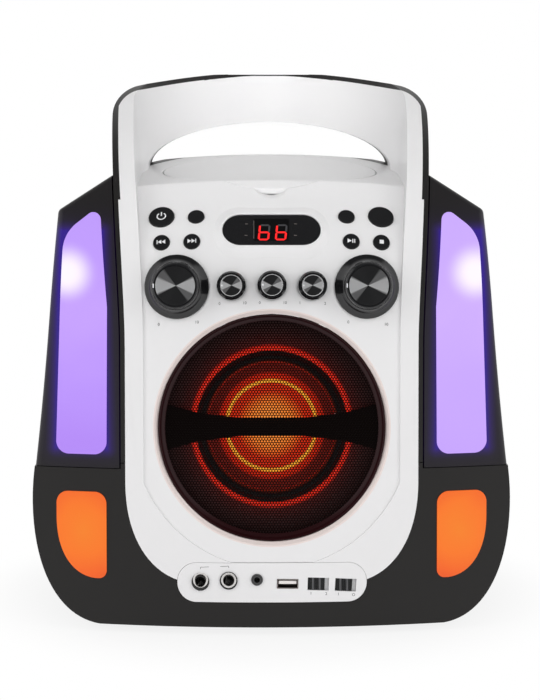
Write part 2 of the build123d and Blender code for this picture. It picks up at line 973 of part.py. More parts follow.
with BuildPart() as front_panel:
    add(white_blank.part)
    add(recess_cut.part, mode=Mode.SUBTRACT)
    add(pocket_cut.part, mode=Mode.SUBTRACT)
    add(hand_opening.part, mode=Mode.SUBTRACT)
    add(scoop_bowl.part)
    add(display_surround.part)
    for hole in panel_holes:
        add(hole, mode=Mode.SUBTRACT)
    for lug in hinge_lugs:
        add(lug)
    add(plug(deck_axle(0), hinge_pin_radius + pin_clearance, -40, 40), mode=Mode.SUBTRACT)
save(front_panel, "front_panel")

# ---------------------------------------------------------------- black rear shell
with BuildPart() as tower_cavity:
    add(TOWER_INNER)
    add(TOWER_COLUMN_INNER, mode=Mode.INTERSECT)
    add(FACE_INNER, mode=Mode.INTERSECT)

with BuildPart() as vent_slots:
    with BuildSketch(Plane.XZ.offset(-tower_rear_y - 10)):
        with GridLocations(0, vent_pitch, 1, vent_count):
            with Locations((0, vent_z)):
                SlotOverall(vent_width, vent_height)
    extrude(amount=30)

with BuildPart() as rear_shell:
    add(TOWER)
    add(SKIN, mode=Mode.INTERSECT)
    add(TOWER_COLUMN, mode=Mode.INTERSECT)
    add(REAR_FORM, mode=Mode.INTERSECT)
    add(tower_cavity.part, mode=Mode.SUBTRACT)
    add(white_blank.part, mode=Mode.SUBTRACT)
    add(pocket_cut.part, mode=Mode.SUBTRACT)
    add(hand_opening.part, mode=Mode.SUBTRACT)
    add(vent_slots.part, mode=Mode.SUBTRACT)
    split(bisect_by=Plane.XY.offset(rim_foot_z), keep=Keep.TOP)
save(rear_shell, "rear_shell")

# ---------------------------------------------------------------- light column covers
WING_KEEP_OUT = prism(tower_outline(-groove_width - shell_wall))

with BuildPart() as wing_hollow:
    add(prism(wing_outline(shell_wall)))
    add(SKIN_INNER, mode=Mode.INTERSECT)
    add(BODY_COLUMN_INNER, mode=Mode.INTERSECT)
    add(WING_KEEP_OUT, mode=Mode.SUBTRACT)

with BuildPart() as right_wing_cover:
    add(prism(wing_outline(0)))
    add(SKIN, mode=Mode.INTERSECT)
    add(BODY_COLUMN, mode=Mode.INTERSECT)
    add(TOWER_GROOVE, mode=Mode.SUBTRACT)
    outer_edges = [
        e
        for e in right_wing_cover.edges()
        if e.center().X > 100 and e.center().Y < -40 and e.center().Z > base_top_z + 5
    ]
    fillet(outer_edges, radius=wing_edge_round)
    add(wing_hollow.part, mode=Mode.SUBTRACT)
    with BuildSketch(FRONT):
        add(column_lens_outline(0))
    extrude(amount=-front_reach, mode=Mode.SUBTRACT)
save(right_wing_cover, "right_wing_cover")
left_wing_cover = mirrored(right_wing_cover)
save(left_wing_cover, "left_wing_cover")

# ---------------------------------------------------------------- base housing
with BuildPart() as base_plinth:
    add(TOWER)
    add(SKIN, mode=Mode.INTERSECT)
    add(TOWER_COLUMN, mode=Mode.INTERSECT)
    split(bisect_by=Plane.XY.offset(rim_foot_z - seam_gap), keep=Keep.BOTTOM)
    split(bisect_by=Plane.XY.offset(base_top_z - 10), keep=Keep.TOP)

with BuildPart() as base_hollow:
    add(prism(base_outline(shell_wall)))
    add(SKIN_INNER, mode=Mode.INTERSECT)
    add(BODY_COLUMN_INNER, mode=Mode.INTERSECT)

with BuildPart() as base_neck:
    add(TOWER_INNER)
    add(TOWER_COLUMN_INNER, mode=Mode.INTERSECT)
    add(SKIN_INNER, mode=Mode.INTERSECT)
    split(bisect_by=Plane.XY.offset(base_top_z - 12), keep=Keep.TOP)

with BuildPart() as panel_mouth:
    with BuildSketch(FRONT):
        add(white_outline())
        add(jack_outline(fit_gap))
    extrude(amount=-(front_reach + panel_mouth_y))

with BuildPart() as right_base_lens_hole:
    extrude(base_lens_outline(0), amount=-(front_reach + panel_mouth_y))

left_base_lens_hole = mirrored(right_base_lens_hole)
inlet_plane = Plane(origin=(inlet_x, body_rear_y, socket_z), x_dir=(-1, 0, 0), z_dir=(0, 1, 0))
av_planes = []
for index in range(av_count):
    av_planes.append(
        Plane(
            origin=(av_x + index * av_pitch, body_rear_y, socket_z),
            x_dir=(-1, 0, 0),
            z_dir=(0, 1, 0),
        )
    )
screw_planes = []
for x, z in screw_spots:
    screw_planes.append(
        Plane(origin=(x, body_rear_y, z), x_dir=(-1, 0, 0), z_dir=(0, 1, 0))
    )
base_cuts = [
    right_base_lens_hole.part,
    left_base_lens_hole.part,
    pill(inlet_plane, inlet_width, inlet_height, -8, 2),
]
for plane in av_planes:
    base_cuts.append(plug(plane, av_radius + fit_gap, -8, 2))
for plane in screw_planes:
    base_cuts.append(plug(plane, screw_head_radius + 0.4, -1.6, 2))
    base_cuts.append(plug(plane, screw_radius, -8, 2))

with BuildPart() as base_housing:
    add(prism(base_outline(0)))
    add(SKIN, mode=Mode.INTERSECT)
    add(BODY_COLUMN, mode=Mode.INTERSECT)
    add(base_plinth.part)
    add(base_hollow.part, mode=Mode.SUBTRACT)
    add(base_neck.part, mode=Mode.SUBTRACT)
    add(panel_mouth.part, mode=Mode.SUBTRACT)
    for cut in base_cuts:
        add(cut, mode=Mode.SUBTRACT)
save(base_housing, "base_housing")

# ---------------------------------------------------------------- light lenses
LENS_SKIN = skin_form(-lens_stand)
LENS_SEAT = skin_form(shell_wall + lens_fit)
FLANGE_SKIN = skin_form(shell_wall + lens_flange_wall)


def lens(outline, flange_outline):
    """Lens that fills its hole, with a flange behind the wall."""
    with BuildPart() as collar:
        extrude(flange_outline, amount=-front_reach)
        add(LENS_SEAT, mode=Mode.INTERSECT)
    with BuildPart() as window:
        extrude(outline, amount=-front_reach)
        add(LENS_SKIN, mode=Mode.INTERSECT)
        add(collar.part)
        add(FLANGE_SKIN, mode=Mode.SUBTRACT)
    return window


right_light_lens = lens(column_lens_outline(-lens_fit), column_lens_outline(lens_flange))
save(right_light_lens, "right_light_lens")
left_light_lens = mirrored(right_light_lens)
save(left_light_lens, "left_light_lens")
right_amber_lens = lens(base_lens_outline(-lens_fit), base_lens_outline(lens_flange))
with BuildPart() as amber_lenses:
    add(right_amber_lens.part)
    mirror(about=Plane.YZ)
save(amber_lenses, "amber_lenses")

with BuildPart() as led_boards:
    for side in (-1, 1):
        with Locations((side * led_board_x, column_board_y, column_board_z)):
            Box(led_board_width, board_thickness, column_board_height)
        with Locations((side * led_board_x, base_board_y, base_board_z)):
            Box(led_board_width, board_thickness, base_board_height)
save(led_boards, "led_boards")

# ---------------------------------------------------------------- speaker
ring_flange = tube(SPEAKER, speaker_ring_radius, speaker_flange_radius, -speaker_ring_depth, 5)
ring_blank = tube(SPEAKER, speaker_mouth_radius, speaker_ring_radius, -speaker_ring_depth, 5)
with BuildPart() as ring_shoulder:
    add(ring_flange)
    add(FACE_INNER, mode=Mode.INTERSECT)

with BuildPart() as speaker_trim_ring:
    add(ring_blank)
    add(FACE, mode=Mode.INTERSECT)
    mouth_edges = []
    for e in speaker_trim_ring.edges():
        spot = SPEAKER.to_local_coords(e @ 0.3)
        if hypot(spot.X, spot.Y) < speaker_mouth_radius + 0.1 and spot.Z > 1 - speaker_ring_depth:
            mouth_edges.append(e)
    chamfer(mouth_edges, length=speaker_bevel)
    add(ring_shoulder.part)
save(speaker_trim_ring, "speaker_trim_ring")


def domed_sheet(plane, radius, edge_height, rise, thickness):
    """Thin dome turned about a plane's normal."""
    side = Plane(origin=plane.origin, x_dir=plane.x_dir, z_dir=-plane.y_dir)
    half_chord = radius / 2
    dome_radius = (radius**2 + rise**2) / (2 * rise)
    mid_height = edge_height + rise - dome_radius + sqrt(dome_radius**2 - half_chord**2)
    with BuildPart() as form:
        with BuildSketch(side):
            with BuildLine():
                ThreePointArc(
                    (radius, edge_height), (half_chord, mid_height), (0, edge_height + rise)
                )
                Line((0, edge_height + rise), (0, edge_height + rise - thickness))
                ThreePointArc(
                    (0, edge_height + rise - thickness),
                    (half_chord, mid_height - thickness),
                    (radius, edge_height - thickness),
                )
                Line((radius, edge_height - thickness), (radius, edge_height))
            make_face()
        revolve(axis=Axis(plane.origin, plane.z_dir))
    return form


speaker_grille = domed_sheet(
    SPEAKER, grille_radius, -grille_edge_depth, grille_dome, grille_sheet
)
save(speaker_grille, "speaker_grille")

bar_reach = speaker_mouth_radius - bar_end_gap
bar_tip = sqrt(bar_reach**2 - bar_end_half_height**2)
with BuildPart() as light_bar:
    with BuildSketch(SPEAKER.offset(-bar_depth - bar_thickness)):
        with BuildLine():
            for side in (-1, 1):
                Polyline(
                    (-bar_tip, side * bar_end_half_height),
                    (-bar_knee_x, side * bar_knee_half_height),
                    (-bar_waist_x, side * bar_half_height),
                    (bar_waist_x, side * bar_half_height),
                    (bar_knee_x, side * bar_knee_half_height),
                    (bar_tip, side * bar_end_half_height),
                )
                ThreePointArc(
                    (side * bar_tip, -bar_end_half_height),
                    (side * bar_reach, 0),
                    (side * bar_tip, bar_end_half_height),
                )
        make_face()
    extrude(amount=bar_thickness)
save(light_bar, "light_bar")

with BuildPart() as speaker_light_ring:
    with BuildSketch(Plane(origin=SPEAKER.origin, x_dir=SPEAKER.x_dir, z_dir=-SPEAKER.y_dir)):
        with Locations((light_ring_radius, -light_ring_depth)):
            Circle(light_ring_wire)
    revolve(axis=Axis(SPEAKER.origin, SPEAKER.z_dir))
save(speaker_light_ring, "speaker_light_ring")

frame_back = frame_front_depth + frame_plate
basket_windows = []
for index in range(basket_window_count):
    turn = 360 / basket_window_count * index
    basket_windows.append(
        block(
            SPEAKER.rotated((0, 0, turn)), basket_window_x, 0, basket_window_size,
            basket_window_size, -basket_window_low, -frame_back - 2,
        )
    )
with BuildPart() as speaker_frame:
    add(
        turned(
            SPEAKER,
            (
                (frame_opening, -frame_front_depth),
                (frame_radius, -frame_front_depth),
                (frame_radius, -frame_back),
                (frame_opening + basket_wall, -frame_back),
                (basket_radius, -magnet_depth),
                (former_radius + 0.6, -magnet_depth),
                (former_radius + 0.6, -magnet_depth + basket_wall),
                (basket_radius - basket_wall, -magnet_depth + basket_wall),
                (frame_opening, -frame_back),
            ),
        )
    )
    for window in basket_windows:
        add(window, mode=Mode.SUBTRACT)
save(speaker_frame, "speaker_frame")

with BuildPart() as speaker_magnet:
    add(plug(SPEAKER, magnet_radius, -magnet_depth - magnet_height, -magnet_depth))
    add(
        tube(SPEAKER, former_radius - 1.4, former_radius + 0.6, -magnet_depth - 8, -magnet_depth),
        mode=Mode.SUBTRACT,
    )
save(speaker_magnet, "speaker_magnet")

roll_inner = cone_outer + 0.4
roll_outer = frame_opening - 0.8
roll_mid = (roll_inner + roll_outer) / 2
lip_height = -frame_front_depth + surround_sheet
with BuildPart() as speaker_surround:
    with BuildSketch(Plane(origin=SPEAKER.origin, x_dir=SPEAKER.x_dir, z_dir=-SPEAKER.y_dir)):
        with BuildLine():
            Line((surround_lip, lip_height), (roll_outer, lip_height))
            ThreePointArc(
                (roll_outer, lip_height),
                (roll_mid, lip_height + surround_rise),
                (roll_inner, lip_height),
            )
            Line(
                (roll_inner, lip_height),
                (roll_inner + surround_sheet, lip_height - surround_sheet),
            )
            ThreePointArc(
                (roll_inner + surround_sheet, lip_height - surround_sheet),
                (roll_mid, lip_height + surround_rise - surround_sheet),
                (roll_outer - surround_sheet, lip_height - surround_sheet),
            )
            Line(
                (roll_outer - surround_sheet, lip_height - surround_sheet),
                (surround_lip, lip_height - surround_sheet),
            )
            Line((surround_lip, lip_height - surround_sheet), (surround_lip, lip_height))
        make_face()
    revolve(axis=Axis(SPEAKER.origin, SPEAKER.z_dir))
save(speaker_surround, "speaker_surround")

cone_front = -frame_front_depth
cone_back = cone_front - cone_depth
with BuildPart() as speaker_cone:
    add(
        turned(
            SPEAKER,
            (
                (cone_outer, cone_front),
                (cap_radius, cone_back + 1.2),
                (cap_radius * 0.7, cone_back + 1.2 + cap_rise * 0.55),
                (cap_radius * 0.35, cone_back + 1.2 + cap_rise * 0.9),
                (0, cone_back + 1.2 + cap_rise),
                (0, cone_back + cap_rise),
                (cap_radius * 0.35, cone_back + cap_rise * 0.9),
                (former_radius - former_wall, cone_back + cap_rise * 0.3),
                (former_radius - former_wall, -magnet_depth - 4),
                (former_radius, -magnet_depth - 4),
                (former_radius, cone_back - 0.4),
                (cap_radius, cone_back - 0.2),
                (cone_outer, cone_front - 1),
            ),
        )
    )
save(speaker_cone, "speaker_cone")

# ---------------------------------------------------------------- jack plate and sockets
PLATE_INNER = skin_form(panel_wall)
mic_planes = [on_skin(x, mic_jack_z) for x in mic_jack_x]
aux_plane = on_skin(aux_jack_x, aux_jack_z)
usb_plane = on_skin(usb_x, usb_z)
switch_planes = [on_skin(x, switch_z) for x in switch_x]
plate_cuts = []
for plane in mic_planes:
    plate_cuts.append(plug(plane, mic_nose_radius, -8, 4))
plate_cuts.append(plug(aux_plane, aux_nose_radius, -8, 4))
plate_cuts.append(
    block(usb_plane, 0, 0, usb_width + 2 * fit_gap, usb_height + 2 * fit_gap, -8, 4)
)
for plane in switch_planes:
    plate_cuts.append(block(plane, 0, 0, switch_slot_width, switch_slot_height, -8, 4))

with BuildPart() as jack_plate:
    extrude(jack_outline(0), amount=-front_reach)
    add(SKIN, mode=Mode.INTERSECT)
    add(PLATE_INNER, mode=Mode.SUBTRACT)
    for cut in plate_cuts:
        add(cut, mode=Mode.SUBTRACT)
save(jack_plate, "jack_plate")


def jack(plane, plug_radius, nose_radius, nut_radius, body, length):
    """Panel jack: threaded nose, ring nut, body behind the plate and a through bore."""
    with BuildPart() as form:
        add(block(plane, 0, 0, body, body, -length, -panel_wall - fit_gap))
        add(plug(plane, nose_radius - fit_gap, -length / 2, jack_nose))
        add(tube(plane, plug_radius, nut_radius, fit_gap, nut_height))
        add(plug(plane, plug_radius, -length + 1, 2 * jack_nose), mode=Mode.SUBTRACT)
    return form.part


with BuildPart() as mic_jacks:
    for plane in mic_planes:
        add(
            jack(plane, mic_plug_radius, mic_nose_radius, mic_jack_nut, mic_body, mic_jack_length)
        )
save(mic_jacks, "mic_jacks")

with BuildPart() as aux_jack:
    add(
        jack(aux_plane, aux_plug_radius, aux_nose_radius, aux_jack_nut, aux_body, aux_jack_length)
    )
save(aux_jack, "aux_jack")

with BuildPart() as usb_socket:
    add(block(usb_plane, 0, 0, usb_width, usb_height, -usb_depth, usb_stand))
    add(
        block(
            usb_plane, 0, 0, usb_width - 2 * usb_shell, usb_height - 2 * usb_shell,
            -usb_depth + 3, 2 * usb_stand,
        ),
        mode=Mode.SUBTRACT,
    )
    add(block(usb_plane, 0, usb_tongue_rise, usb_tongue_width, usb_tongue, -usb_depth + 1, -0.5))
save(usb_socket, "usb_socket")

with BuildPart() as switch_bodies:
    for plane in switch_planes:
        add(
            block(
                plane, 0, 0, switch_slot_width + 2, switch_slot_height + 2,
                -switch_body_depth, -panel_wall - 0.3,
            )
        )
        add(
            block(
                plane, 0, 0, switch_stem + switch_travel + 2 * fit_gap, switch_stem,
                -switch_body_depth + 1, 0,
            ),
            mode=Mode.SUBTRACT,
        )
save(switch_bodies, "switch_bodies")

for switch_name, plane in zip(("function_switch", "light_switch"), switch_planes):
    rest_x = -switch_travel / 2
    with BuildPart() as switch_cap:
        add(
            block(
                plane, rest_x, 0, switch_cap_width, switch_slot_height - 2 * fit_gap,
                -panel_wall, switch_cap_top - switch_rib,
            )
        )
        for index in range(switch_rib_count):
            x = rest_x + (index - (switch_rib_count - 1) / 2) * 2 * switch_rib
            add(
                block(
                    plane, x, 0, switch_rib, switch_slot_height - 2 * fit_gap,
                    switch_cap_top - switch_rib, switch_cap_top,
                )
            )
        add(
            block(
                plane, rest_x, 0, switch_stem, switch_stem - 2 * fit_gap,
                -switch_body_depth + 1.5, -panel_wall,
            )
        )
    save(switch_cap, switch_name)

# ---------------------------------------------------------------- display
with BuildPart() as display_window:
    add(pill(SCREEN, display_width, display_height, -2, window_top))
    fillet(display_window.faces().sort_by(outward)[-1].edges(), radius=0.4)
save(display_window, "display_window")

with BuildPart() as display_module:
    add(pill(SCREEN, display_width - 5, display_height - 5, -display_board_depth, -2.3))
    add(
        block(
            SCREEN, 0, 0, display_width + 6, display_height + 3,
            -display_board_depth - board_thickness, -display_board_depth,
        )
    )
save(display_module, "display_module")

# ---------------------------------------------------------------- buttons and their boards
with BuildPart() as button_boards:
    for plane in BOARDS:
        add(block(plane, 0, 0, button_board_width, button_board_height, -board_thickness, 0))
save(button_boards, "button_boards")

tact_switches_part = []
for button_name, x, z, radius in buttons:
    spot = on_face(x, z)
    board = BOARDS[0] if x < 0 else BOARDS[1]
    height = (spot.origin - board.origin).dot(board.z_dir) - switch_height - switch_clearance
    stem_length = height / spot.z_dir.dot(board.z_dir)
    tip = board.to_local_coords(spot.origin - spot.z_dir * stem_length)
    foot = Plane(
        origin=board.from_local_coords((tip.X, tip.Y, 0)), x_dir=board.x_dir, z_dir=board.z_dir
    )
    tact_switches_part.append(
        block(foot, 0, 0, switch_size, switch_size, 0, switch_height - 1)
    )
    tact_switches_part.append(plug(foot, button_stem_radius, switch_height - 1, switch_height))
    with BuildPart() as button:
        add(plug(spot, radius, -button_flange_depth, button_stand))
        crown = button.faces().sort_by(Axis(spot.origin, spot.z_dir))[-1]
        fillet(crown.edges(), radius=button_edge)
        add(
            plug(
                spot, radius + button_lip, -button_flange_depth - button_flange,
                -button_flange_depth,
            )
        )
        add(plug(spot, button_stem_radius, -stem_length, -button_flange_depth))
    save(button, button_name)

with BuildPart() as tact_switches:
    for piece in tact_switches_part:
        add(piece)
save(tact_switches, "tact_switches")

# ---------------------------------------------------------------- knobs
stem_end = -pot_depth - pot_size[2]
for knob_name, side in big_knobs:
    plane = knob_planes[knob_name]
    side_plane = Plane(origin=plane.origin, x_dir=plane.x_dir, z_dir=-plane.y_dir)
    top = big_knob_height
    with BuildPart() as knob:
        with BuildSketch(side_plane):
            with BuildLine():
                Polyline(
                    (skirt_waist, 12), (skirt_top, top - 1.0), (skirt_top - 0.7, top - 0.3),
                    (big_knob_cap + 0.1, top - 0.3), (big_knob_cap + 0.1, top - 1.1),
                    (0, top - 1.1), (0, stem_end), (shaft_radius, stem_end),
                    (shaft_radius, -0.4), (big_knob_radius, -0.4), (big_knob_radius, 1.9),
                    (big_knob_radius - 0.6, 2.5),
                )
                ThreePointArc(
                    (big_knob_radius - 0.6, 2.5), (skirt_curve_radius, skirt_curve_height),
                    (skirt_waist, 12),
                )
            make_face()
        revolve(axis=Axis(plane.origin, plane.z_dir))
    save(knob, knob_name)
    with BuildPart() as knob_cap:
        add(plug(plane, big_knob_cap, top - 1.1, top))
        crown = knob_cap.faces().sort_by(Axis(plane.origin, plane.z_dir))[-1]
        fillet(crown.edges(), radius=0.3)
    save(knob_cap, knob_name + "_cap")

for knob_name, side in small_knobs:
    plane = knob_planes[knob_name]
    top = small_knob_height
    with BuildPart() as knob:
        add(
            turned(
                plane,
                (
                    (0, stem_end), (shaft_radius, stem_end), (shaft_radius, -0.3),
                    (small_knob_radius, -0.3), (small_knob_radius, 0.8),
                    (small_knob_radius - 0.4, top - 2.2), (small_knob_radius - 1.4, top - 0.5),
                    (small_knob_cap + 0.1, top - 0.5), (small_knob_cap + 0.1, top - 0.9),
                    (small_knob_cap - 0.3, top - 0.9), (small_knob_cap - 0.3, top), (0, top),
                ),
            )
        )
    save(knob, knob_name)

with BuildPart() as pots:
    for plane in knob_planes.values():
        add(block(plane, 0, 0, pot_size[0], pot_size[1], stem_end, -pot_depth))
        add(
            plug(plane, shaft_radius + shaft_clearance, stem_end - 1, 0), mode=Mode.SUBTRACT
        )
save(pots, "pots")

# ---------------------------------------------------------------- disc lid and well
LID_INNER = face_form(lid_wall)
lid_barrel = plug(deck_axle(0), hinge_barrel_radius, -hinge_half_length, hinge_half_length)
skirt_blank = tube(DECK, lid_skirt_inner, lid_skirt_radius, -lid_skirt_depth, 5)
hold_ring = tube(DECK, hold_ring_radius, hold_ring_radius + 2, -hold_ring_depth, 5)
with BuildPart() as lid_skirt:
    add(skirt_blank)
    with BuildSketch(DECK.offset(-lid_skirt_depth)):
        with Locations((0, hinge_setback - 8.5 + lid_radius)):
            Rectangle(4 * lid_radius, 2 * lid_radius)
    extrude(amount=3 * lid_skirt_depth, mode=Mode.SUBTRACT)
    add(hold_ring)
    add(LID_INNER, mode=Mode.INTERSECT)

# The shoulders are hollowed to clear the edge of the deck while the lid swings up.
deck_edge_reach = hypot(hinge_barrel_radius + hinge_shoulder_gap - lid_gap, hinge_drop)
lid_heel_radius = deck_edge_reach + lid_heel_clearance
lid_corner_x = sqrt(lid_radius**2 - (hinge_setback - hinge_barrel_radius) ** 2)
lid_heels = []
for side in (-1, 1):
    lid_heels.append(
        turned(
            deck_axle(0),
            (
                (0, side * hinge_half_length),
                (lid_heel_radius, side * hinge_half_length),
                (lid_heel_radius, side * lid_corner_x),
                (lid_heel_radius + lid_heel_flare, side * (lid_corner_x + lid_heel_length)),
                (0, side * (lid_corner_x + lid_heel_length)),
            ),
        )
    )

with BuildPart() as disc_lid:
    extrude(lid_outline(0, 0), amount=40)
    add(FACE, mode=Mode.INTERSECT)
    add(LID_INNER, mode=Mode.SUBTRACT)
    add(lid_skirt.part)
    for heel in lid_heels:
        add(heel, mode=Mode.SUBTRACT)
    add(lid_barrel)
    add(
        plug(deck_axle(0), hinge_pin_radius + shaft_clearance, -lid_radius, lid_radius),
        mode=Mode.SUBTRACT,
    )
save(disc_lid, "disc_lid")

pin_reach = hinge_half_length + 0.3 + hinge_lug_width
with BuildPart() as lid_hinge_pin:
    add(plug(deck_axle(0), hinge_pin_radius, -pin_reach, pin_reach))
save(lid_hinge_pin, "lid_hinge_pin")

well_outer = well_radius + well_wall
with BuildPart() as well_collar:
    add(tube(DECK, collar_radius, collar_radius + 2.5, -well_rim_depth, 10))
    add(FACE_INNER, mode=Mode.INTERSECT)
    add(
        block(DECK, 0, hinge_setback, 2 * pin_reach + 2, 20, -well_rim_depth + 0.1, 10),
        mode=Mode.SUBTRACT,
    )

sled_track = block(
    DECK, sled_start_x + sled_travel / 2 + 1, 0, sled_travel + 12, 12, -30, 0
)
with BuildPart() as disc_well:
    add(
        turned(
            DECK,
            (
                (well_radius, -well_rim_depth), (collar_radius + 2.5, -well_rim_depth),
                (collar_radius + 2.5, -well_rim_depth - well_wall),
                (well_outer, -well_rim_depth - well_wall), (well_outer, -well_floor_depth),
                (well_hole, -well_floor_depth), (well_hole, -well_floor_depth + well_wall),
                (well_radius, -well_floor_depth + well_wall),
            ),
        )
    )
    add(FACE_INNER, mode=Mode.INTERSECT)
    add(well_collar.part)
    add(sled_track, mode=Mode.SUBTRACT)
    with Locations(scoop_centre):
        Sphere(scoop_radius + panel_wall - 0.6, mode=Mode.SUBTRACT)
save(disc_well, "disc_well")

# ---------------------------------------------------------------- disc drive
sled_low_depth = sled_top_depth + sled_height
rack_line = -(sled_width / 2 + rack_bar + 0.9)
gear_pitch_radius = gear_module * feed_gear_teeth / 2
pinion_pitch_radius = gear_module * pinion_teeth / 2
gear_x = sled_start_x + sled_length / 2
gear_y = rack_line - gear_pitch_radius
pinion_angle = radians(pinion_direction)
pinion_x = gear_x + (gear_pitch_radius + pinion_pitch_radius) * cos(pinion_angle)
pinion_y = gear_y + (gear_pitch_radius + pinion_pitch_radius) * sin(pinion_angle)
gear_low = -plate_depth + 2
tooth_half = pi * gear_module / 4 - gear_backlash


def upright(x, y):
    """Plane square to the deck, over a point of the drive."""
    return Plane(origin=DECK.from_local_coords((x, y, 0)), x_dir=DECK.x_dir, z_dir=DECK.z_dir)


def gear_form(x, y, teeth, turn, root_half, tip_half, low):
    """Spur gear with straight-flanked teeth, the first tooth turned by turn degrees."""
    pitch = gear_module * teeth / 2
    root = pitch - 1.15 * gear_module
    with BuildPart() as form:
        with BuildSketch(upright(x, y).offset(low)):
            Circle(root)
            with PolarLocations(0, teeth, start_angle=turn):
                Polygon(
                    (root - 0.3, -root_half), (pitch, -tooth_half), (pitch + gear_module, -tip_half),
                    (pitch + gear_module, tip_half), (pitch, tooth_half), (root - 0.3, root_half),
                    align=None,
                )
        extrude(amount=gear_width)
    return form.part


rack_teeth = int((sled_travel + 4) / (pi * gear_module)) + 1
rack_right = gear_x + pi * gear_module * 1.0
with BuildPart() as rack:
    with BuildSketch(upright(0, 0).offset(gear_low)):
        with Locations(((2 * rack_right - rack_reach) / 2, rack_line + 0.9 + rack_bar / 2)):
            Rectangle(rack_reach, rack_bar)
        for index in range(rack_teeth):
            middle = gear_x + pi * gear_module * (0.5 - index)
            with Locations((middle, rack_line)):
                Polygon(
                    (-0.86 + gear_backlash, 0.95), (-tooth_half, 0), (-0.24, -gear_module),
                    (0.24, -gear_module), (tooth_half, 0), (0.86 - gear_backlash, 0.95),
                    align=None,
                )
    extrude(amount=gear_width)

rod_planes = []
for side in (-1, 1):
    rod_planes.append(
        Plane(
            origin=deck_point(0, side * rod_offset, rod_depth), x_dir=DECK.y_dir, z_dir=(1, 0, 0)
        )
    )
post_x = (12.5, 64.5)

with BuildPart() as pickup_sled:
    sled_axis = upright(sled_start_x, 0)
    add(block(sled_axis, 0, 0, sled_length, sled_width, -sled_low_depth, -sled_top_depth))
    add(rack.part)
    for plane, slack in zip(rod_planes, (0.3, shaft_clearance)):
        add(plug(plane, rod_radius + slack, 0, 80), mode=Mode.SUBTRACT)
    add(plug(upright(sled_start_x, 0), lens_turret_radius, -sled_top_depth, -lens_turret_depth))
save(pickup_sled, "pickup_sled")

with BuildPart() as guide_rods:
    for plane in rod_planes:
        add(plug(plane, rod_radius, post_x[0] - 1.5, post_x[1] + 1.5))
save(guide_rods, "guide_rods")

with BuildPart() as mechanism_plate:
    add(
        block(
            DECK, plate_x, plate_y, plate_length, plate_width, -plate_depth - plate_thickness,
            -plate_depth,
        )
    )
    for x in post_x:
        for side in (-1, 1):
            add(block(DECK, x, side * rod_offset, 3, 5, -plate_depth, -rod_depth + 2.5))
    for plane in rod_planes:
        add(plug(plane, rod_radius, 0, 80), mode=Mode.SUBTRACT)
    add(plug(upright(gear_x, gear_y), 4, -plate_depth, gear_low - 0.2))
    add(plug(upright(gear_x, gear_y), rod_radius, -plate_depth, gear_low + gear_width + 1))
    add(plug(upright(0, 0), motor_boss_radius, -40, 0), mode=Mode.SUBTRACT)
    add(plug(upright(pinion_x, pinion_y), rod_radius, -40, 0), mode=Mode.SUBTRACT)
save(mechanism_plate, "mechanism_plate")

with BuildPart() as dampers:
    for x, y in damper_spots:
        add(plug(upright(x, y), damper_radius, -plate_depth, -well_floor_depth))
save(dampers, "dampers")

with BuildPart() as feed_gear:
    add(gear_form(gear_x, gear_y, feed_gear_teeth, 90, 0.72, 0.2, gear_low))
    add(plug(upright(gear_x, gear_y), rod_radius + shaft_clearance, -40, 0), mode=Mode.SUBTRACT)
save(feed_gear, "feed_gear")

motor_top = -plate_depth - plate_thickness
with BuildPart() as feed_pinion:
    add(
        gear_form(
            pinion_x, pinion_y, pinion_teeth, pinion_direction + 180 + 180 / pinion_teeth,
            0.55, 0.17, gear_low,
        )
    )
    add(plug(upright(pinion_x, pinion_y), motor_shaft_radius, motor_top - 8, gear_low))
save(feed_pinion, "feed_pinion")

with BuildPart() as drive_motors:
    add(plug(upright(pinion_x, pinion_y), feed_motor_radius, motor_top - 12, motor_top))
    add(plug(upright(0, 0), spindle_motor_radius, motor_top - 9, motor_top))
    for x, y in ((pinion_x, pinion_y), (0, 0)):
        add(
            plug(upright(x, y), motor_shaft_radius + shaft_clearance, motor_top - 8.5, 0),
            mode=Mode.SUBTRACT,
        )
save(drive_motors, "drive_motors")

with BuildPart() as turntable_hub:
    add(
        turned(
            DECK,
            (
                (0, motor_top - 8), (motor_shaft_radius, motor_top - 8),
                (motor_shaft_radius, -plate_depth + 2), (hub_neck_radius, -plate_depth + 2),
                (hub_neck_radius, -disc_plane_depth - 2.4),
                (disc_seat_radius, -disc_plane_depth - 2.4), (disc_seat_radius, -disc_plane_depth),
                (disc_hub_radius, -disc_plane_depth), (disc_hub_radius, -disc_plane_depth + 1.4),
                (disc_hub_radius - 2.2, -hub_top_depth), (0, -hub_top_depth),
            ),
        )
    )
save(turntable_hub, "turntable_hub")

# ---------------------------------------------------------------- back, boards, feet and screws
with BuildPart() as power_inlet:
    add(pill(inlet_plane, inlet_width - 2 * fit_gap, inlet_height - 2 * fit_gap, -inlet_depth, 0))
    add(
        pill(inlet_plane, inlet_width - 5, inlet_height - 5, -inlet_depth + 4, 1),
        mode=Mode.SUBTRACT,
    )
    for side in (-1, 1):
        pin_plane = Plane(
            origin=inlet_plane.from_local_coords((side * inlet_pin_offset, 0, 0)),
            x_dir=inlet_plane.x_dir,
            z_dir=inlet_plane.z_dir,
        )
        add(plug(pin_plane, 1.2, -inlet_depth + 2, -3))
save(power_inlet, "power_inlet")

with BuildPart() as av_sockets:
    for plane in av_planes:
        add(plug(plane, av_radius, -10, av_nose))
        add(tube(plane, av_bore, av_bore + 0.8, av_nose, av_nose + 3))
        add(plug(plane, av_bore, -8, 2 * av_nose + 5), mode=Mode.SUBTRACT)
        add(block(plane, 0, 0, 11, 11, -14, -shell_wall - 0.3))
        add(plug(plane, 1.6, -13, 2 * av_nose + 5), mode=Mode.SUBTRACT)
save(av_sockets, "av_sockets")

